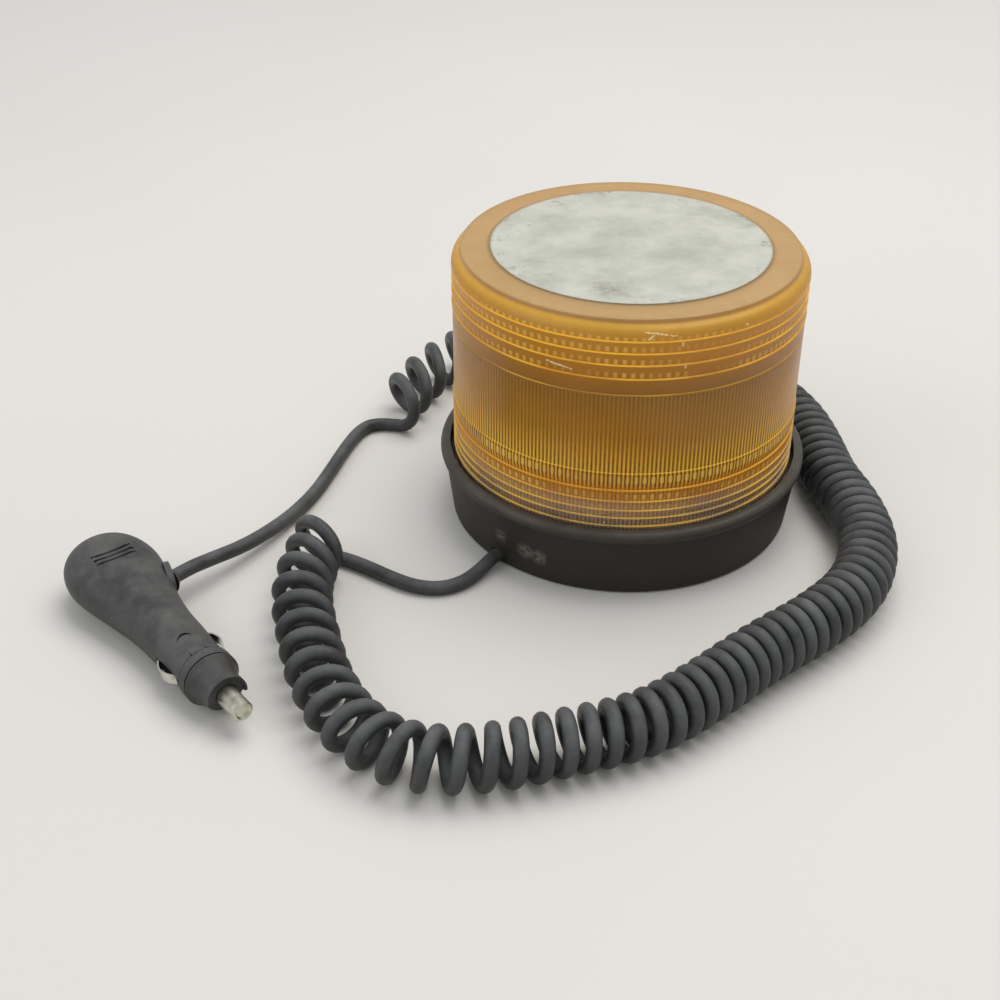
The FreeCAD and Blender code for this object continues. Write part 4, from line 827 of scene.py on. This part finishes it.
# Moulded rubber base: near black and dull, with a painted greyer highlight on its lip, where it is
# also smoother, and pale scuffs by the cord. Places are in millimetres, and each scuff is told by its middle
# and its reach.

baseMarks = {
    "lip": (26.0, 30.0),
    "scuffs": (((-50.2, -51.8, 14.6), 3.8), ((-41.0, -59.4, 12.4), 4.6), ((-35.6, -62.8, 11.6), 4.6)),
    "shades": {"dark": "#231E18", "paintedLipHighlight": "#585247", "scuffed": "#615E55", "specks": "#8A877E"},
}


def scuffedRubber():
    material, tree, place = newMaterial("scuffed_base_rubber")
    shade = {name: hexColour(code) for name, code in baseMarks["shades"].items()}
    height = addNode(tree, "ShaderNodeSeparateXYZ", (place,)).outputs["Z"]
    clouds = addNode(tree, "ShaderNodeTexNoise", (place, 0.05, 6.0, 0.6))
    fine = addNode(tree, "ShaderNodeTexNoise", (place, 1.6, 4.0, 0.6))
    streaks = addNode(tree, "ShaderNodeTexNoise", (place, 0.55, 6.0, 0.75))
    # painted highlight: the lip's top is painted greyer, and made smoother
    atLip = addNode(tree, "ShaderNodeMapRange", (height, *baseMarks["lip"], 0.05, 0.85))
    cloudy = addNode(tree, "ShaderNodeMapRange", (clouds, 0.35, 0.65, 0.5, 1.0))
    paintedLipHighlight = addNode(tree, "ShaderNodeMath", (atLip, cloudy), operation="MULTIPLY")
    colour = addNode(tree, "ShaderNodeMix", (paintedLipHighlight, shade["dark"], shade["paintedLipHighlight"]), data_type="RGBA")
    rough = addNode(tree, "ShaderNodeMapRange", (streaks, 0.42, 0.52))
    for middle, reach in baseMarks["scuffs"]:
        away = addNode(tree, "ShaderNodeVectorMath", (place, middle), operation="DISTANCE").outputs["Value"]
        close = addNode(tree, "ShaderNodeMapRange", (away, reach, reach * 0.35))
        scuff = addNode(tree, "ShaderNodeMath", (close, rough), operation="MULTIPLY")
        colour = addNode(tree, "ShaderNodeMix", (scuff, colour, shade["scuffed"]), data_type="RGBA")
    speck = addNode(tree, "ShaderNodeMapRange", (fine, 0.7, 0.76, 0.0, 0.5))
    shader = addNode(tree, "ShaderNodeBsdfPrincipled", {
        "Base Color": addNode(tree, "ShaderNodeMix", (speck, colour, shade["specks"]), data_type="RGBA"),
        "Roughness": addNode(tree, "ShaderNodeMapRange", (paintedLipHighlight, 0.0, 1.0, 0.62, 0.42)),
        "Specular IOR Level": 0.4,
        "Normal": addNode(tree, "ShaderNodeBump", {"Height": fine, "Strength": 0.3, "Distance": 0.06 * mm}),
    })
    addNode(tree, "ShaderNodeOutputMaterial", (shader,))
    return material


# Rubbers and dull plastics: dark colour, dust's colour, its share, grain in millimetres, roughness
# and specks
rubbers = {
    "pad_rubber": ("#161616", "#3A3A38", 0.2, 0.08, 0.7, 0.12),  # sheet rubber, black and dull
    "dusty_plug_plastic": ("#272727", "#7A7977", 0.56, 0.04, 0.5, 0.2),  # matt moulding, grey with dust
    "boot_rubber": ("#2A2B2A", "#77797A", 0.5, 0.05, 0.55, 0.12),  # the cord's own rubber, a little cleaner
    "seal_foam": ("#141414", "#2C2C2A", 0.2, 0.1, 0.75, 0.12),  # closed-cell foam, black with no shine
}
# Metals: colour, stained colour, roughness and grain in millimetres
metals = {
    "worn_nickel_plate": ("#D2D0C0", "#9A9684", 0.34, 0.03),  # warm white, rubbed dull by sockets
    "spring_clip_steel": ("#DEDDD4", "#A8A496", 0.2, 0.02),  # bright rolled strip
    "zinc_plated_steel": ("#B4B2A8", "#8D8A7C", 0.34, 0.03),  # pale grey, slightly clouded
    "extruded_aluminium": ("#BFC0C0", "#A2A3A4", 0.38, 0.04),  # soft grey, as it left the die
    "contact_brass": ("#C79A4B", "#8C6A30", 0.3, 0.03),  # yellow, browned at the edges
}
# Mouldings and coats: colour, worn colour, roughness and grain in millimetres
mouldings = {
    "sintered_ferrite": ("#2A2A2C", "#3A3A3D", 0.7, 0.08),  # ground ceramic, dark grey and dull
    "solder_mask": ("#1C5C34", "#2B6E42", 0.32, 0.03),  # green lacquer with a soft shine
    "natural_nylon": ("#DEDACB", "#CFC9B6", 0.45, 0.03),  # milky white, waxy
    "winding_tape": ("#C9A12F", "#B18A24", 0.4, 0.03),  # yellow film wound tight
    "capacitor_sleeve": ("#1D2340", "#2A3258", 0.25, 0.03),  # shrunk film, dark blue and glossy
    "varnished_winding": ("#7A3618", "#94492A", 0.22, 0.03),  # copper wire under brown varnish
    "moulded_epoxy": ("#1B1B1C", "#2A2A2B", 0.5, 0.03),  # black and matt
    "resistor_lacquer": ("#C8AE7C", "#B89A66", 0.3, 0.03),  # tan dip coat
    "terminal_polyamide": ("#2F7446", "#3B8353", 0.4, 0.03),  # green, with the mould's sheen
    "wire_insulation": ("#8E1F1A", "#7A1815", 0.35, 0.03),  # red vinyl, smooth
    "white_deck_paint": ("#F0EFE9", "#DEDCD2", 0.4, 0.03),  # sprayed on steel, throws light back up
    "socket_phenolic": ("#3A2A20", "#46352A", 0.4, 0.03),  # brown-black, hard and smooth
}
# Glasses: tint and roughness
glasses = {
    "borosilicate_dome": ("#F2F5F4", 0.02),  # blown, nearly colourless
    "quartz_arc_tube": ("#E9EEF2", 0.05),  # thick, slightly blue
    "fuse_glass": ("#E6ECE8", 0.05),  # thin tube, slightly green
}
# Which solids wear each of these
wearers = {
    "pad_rubber": ("base_pad",),
    "dusty_plug_plastic": ("plug_upper_shell", "plug_lower_shell", "nose_collar"),
    "boot_rubber": ("cord_boot",),
    "seal_foam": ("lens_seal",),
    "worn_nickel_plate": ("contact_pin",),
    "spring_clip_steel": ("clip_left", "clip_right"),
    "zinc_plated_steel": (
        "magnet_cup", "magnet_bolt", "magnet_nut", "board_screws", "deck_screws", "socket_screws",
        "plug_screw",
    ),
    "extruded_aluminium": ("heat_sink",),
    "contact_brass": ("fuse_contact",),
    "sintered_ferrite": ("magnet_ring",),
    "solder_mask": ("circuit_board",),
    "natural_nylon": ("board_standoffs", "deck_posts"),
    "winding_tape": ("flash_transformer",),
    "capacitor_sleeve": ("storage_capacitor",),
    "varnished_winding": ("trigger_coil",),
    "moulded_epoxy": ("power_transistor",),
    "resistor_lacquer": ("small_components",),
    "terminal_polyamide": ("terminal_block",),
    "wire_insulation": ("supply_wires", "plug_wire"),
    "white_deck_paint": ("deck_plate",),
    "socket_phenolic": ("tube_socket", "tube_base"),
    "borosilicate_dome": ("tube_glass",),
    "quartz_arc_tube": ("arc_tube",),
    "fuse_glass": ("fuse",),
}


def dressSolids():
    dress(smudgedFilm(), "label_disc")
    dress(scuffedRubber(), "base_shell", "cord_grommet")
    groups = {dustyRubber: rubbers, metalFinish: metals, mouldedPlastic: mouldings, clearGlass: glasses}
    for finish, group in groups.items():
        for name, values in group.items():
            dress(finish(name, *values), *wearers[name])


dressSolids()
print("finishes of the solids")


# Spring behind the plug's tip: round wire wound along the plug's axis by a node tree

spring = {
    "turns": 6.0,
    "wire": 0.5,
    "sides": 10,
    "reach": 3.1,
    "length": 15.6,
    "press": 3.0,
    "seat": 10.6,
    "plugAt": (-164.3, -117.2, 10.8),
    "heading": -52.4,
}


def springTree():
    tree = bpy.data.node_groups.new("wound_spring", "GeometryNodeTree")
    sockets = {
        "Seat": "Geometry", "Turns": "Float", "Reach": "Float", "Length": "Float", "Wire": "Float",
        "Sides": "Int", "Finish": "Material",
    }
    for name, kind in sockets.items():
        tree.interface.new_socket(name=name, in_out="INPUT", socket_type="NodeSocket" + kind)
    tree.interface.new_socket(name="Geometry", in_out="OUTPUT", socket_type="NodeSocketGeometry")
    given = addNode(tree, "NodeGroupInput").outputs
    coil = addNode(tree, "GeometryNodeCurveSpiral", {
        "Resolution": 24, "Rotations": given["Turns"], "Height": given["Length"],
        "Start Radius": given["Reach"], "End Radius": given["Reach"],
    })
    section = {"Resolution": given["Sides"], "Radius": given["Wire"]}
    ring = addNode(tree, "GeometryNodeCurvePrimitiveCircle", section)
    along = {"Curve": coil, "Profile Curve": ring, "Fill Caps": True}
    wound = addNode(tree, "GeometryNodeCurveToMesh", along)
    real = addNode(tree, "GeometryNodeRealizeInstances", (wound,))
    dressed = addNode(tree, "GeometryNodeSetMaterial", {"Geometry": real, "Material": given["Finish"]})
    addNode(tree, "NodeGroupOutput", (dressed,))
    return tree


def makeSpring():
    heading = math.radians(spring["heading"])
    along = Vector((math.cos(heading), math.sin(heading), 0))
    start = Vector(spring["plugAt"]) * mm + along * (spring["seat"] + spring["wire"]) * mm
    seat = bpy.data.meshes.new("spring_seat")
    seat.from_pydata([(0, 0, 0)], [], [])
    settings = {
        "Turns": spring["turns"],
        "Reach": spring["reach"] * mm,
        "Length": (spring["length"] - 2 * spring["wire"]) * mm,
        "Wire": spring["wire"] * mm,
        "Sides": spring["sides"],
        "Finish": metalFinish("spring_steel_wire", "#C9C8C2", "#A09D94", 0.28, 0.01),
    }
    piece = grownPiece("tip_spring_wire", seat, springTree(), settings, "base", 60)
    turned = along.to_track_quat("Z", "Y").to_matrix().to_4x4()
    turned.translation = start
    piece.data.transform(turned)
    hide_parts("tip_spring")
    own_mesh(piece)
    print("spring of", len(piece.data.polygons), "faces")


makeSpring()

print("scene done")
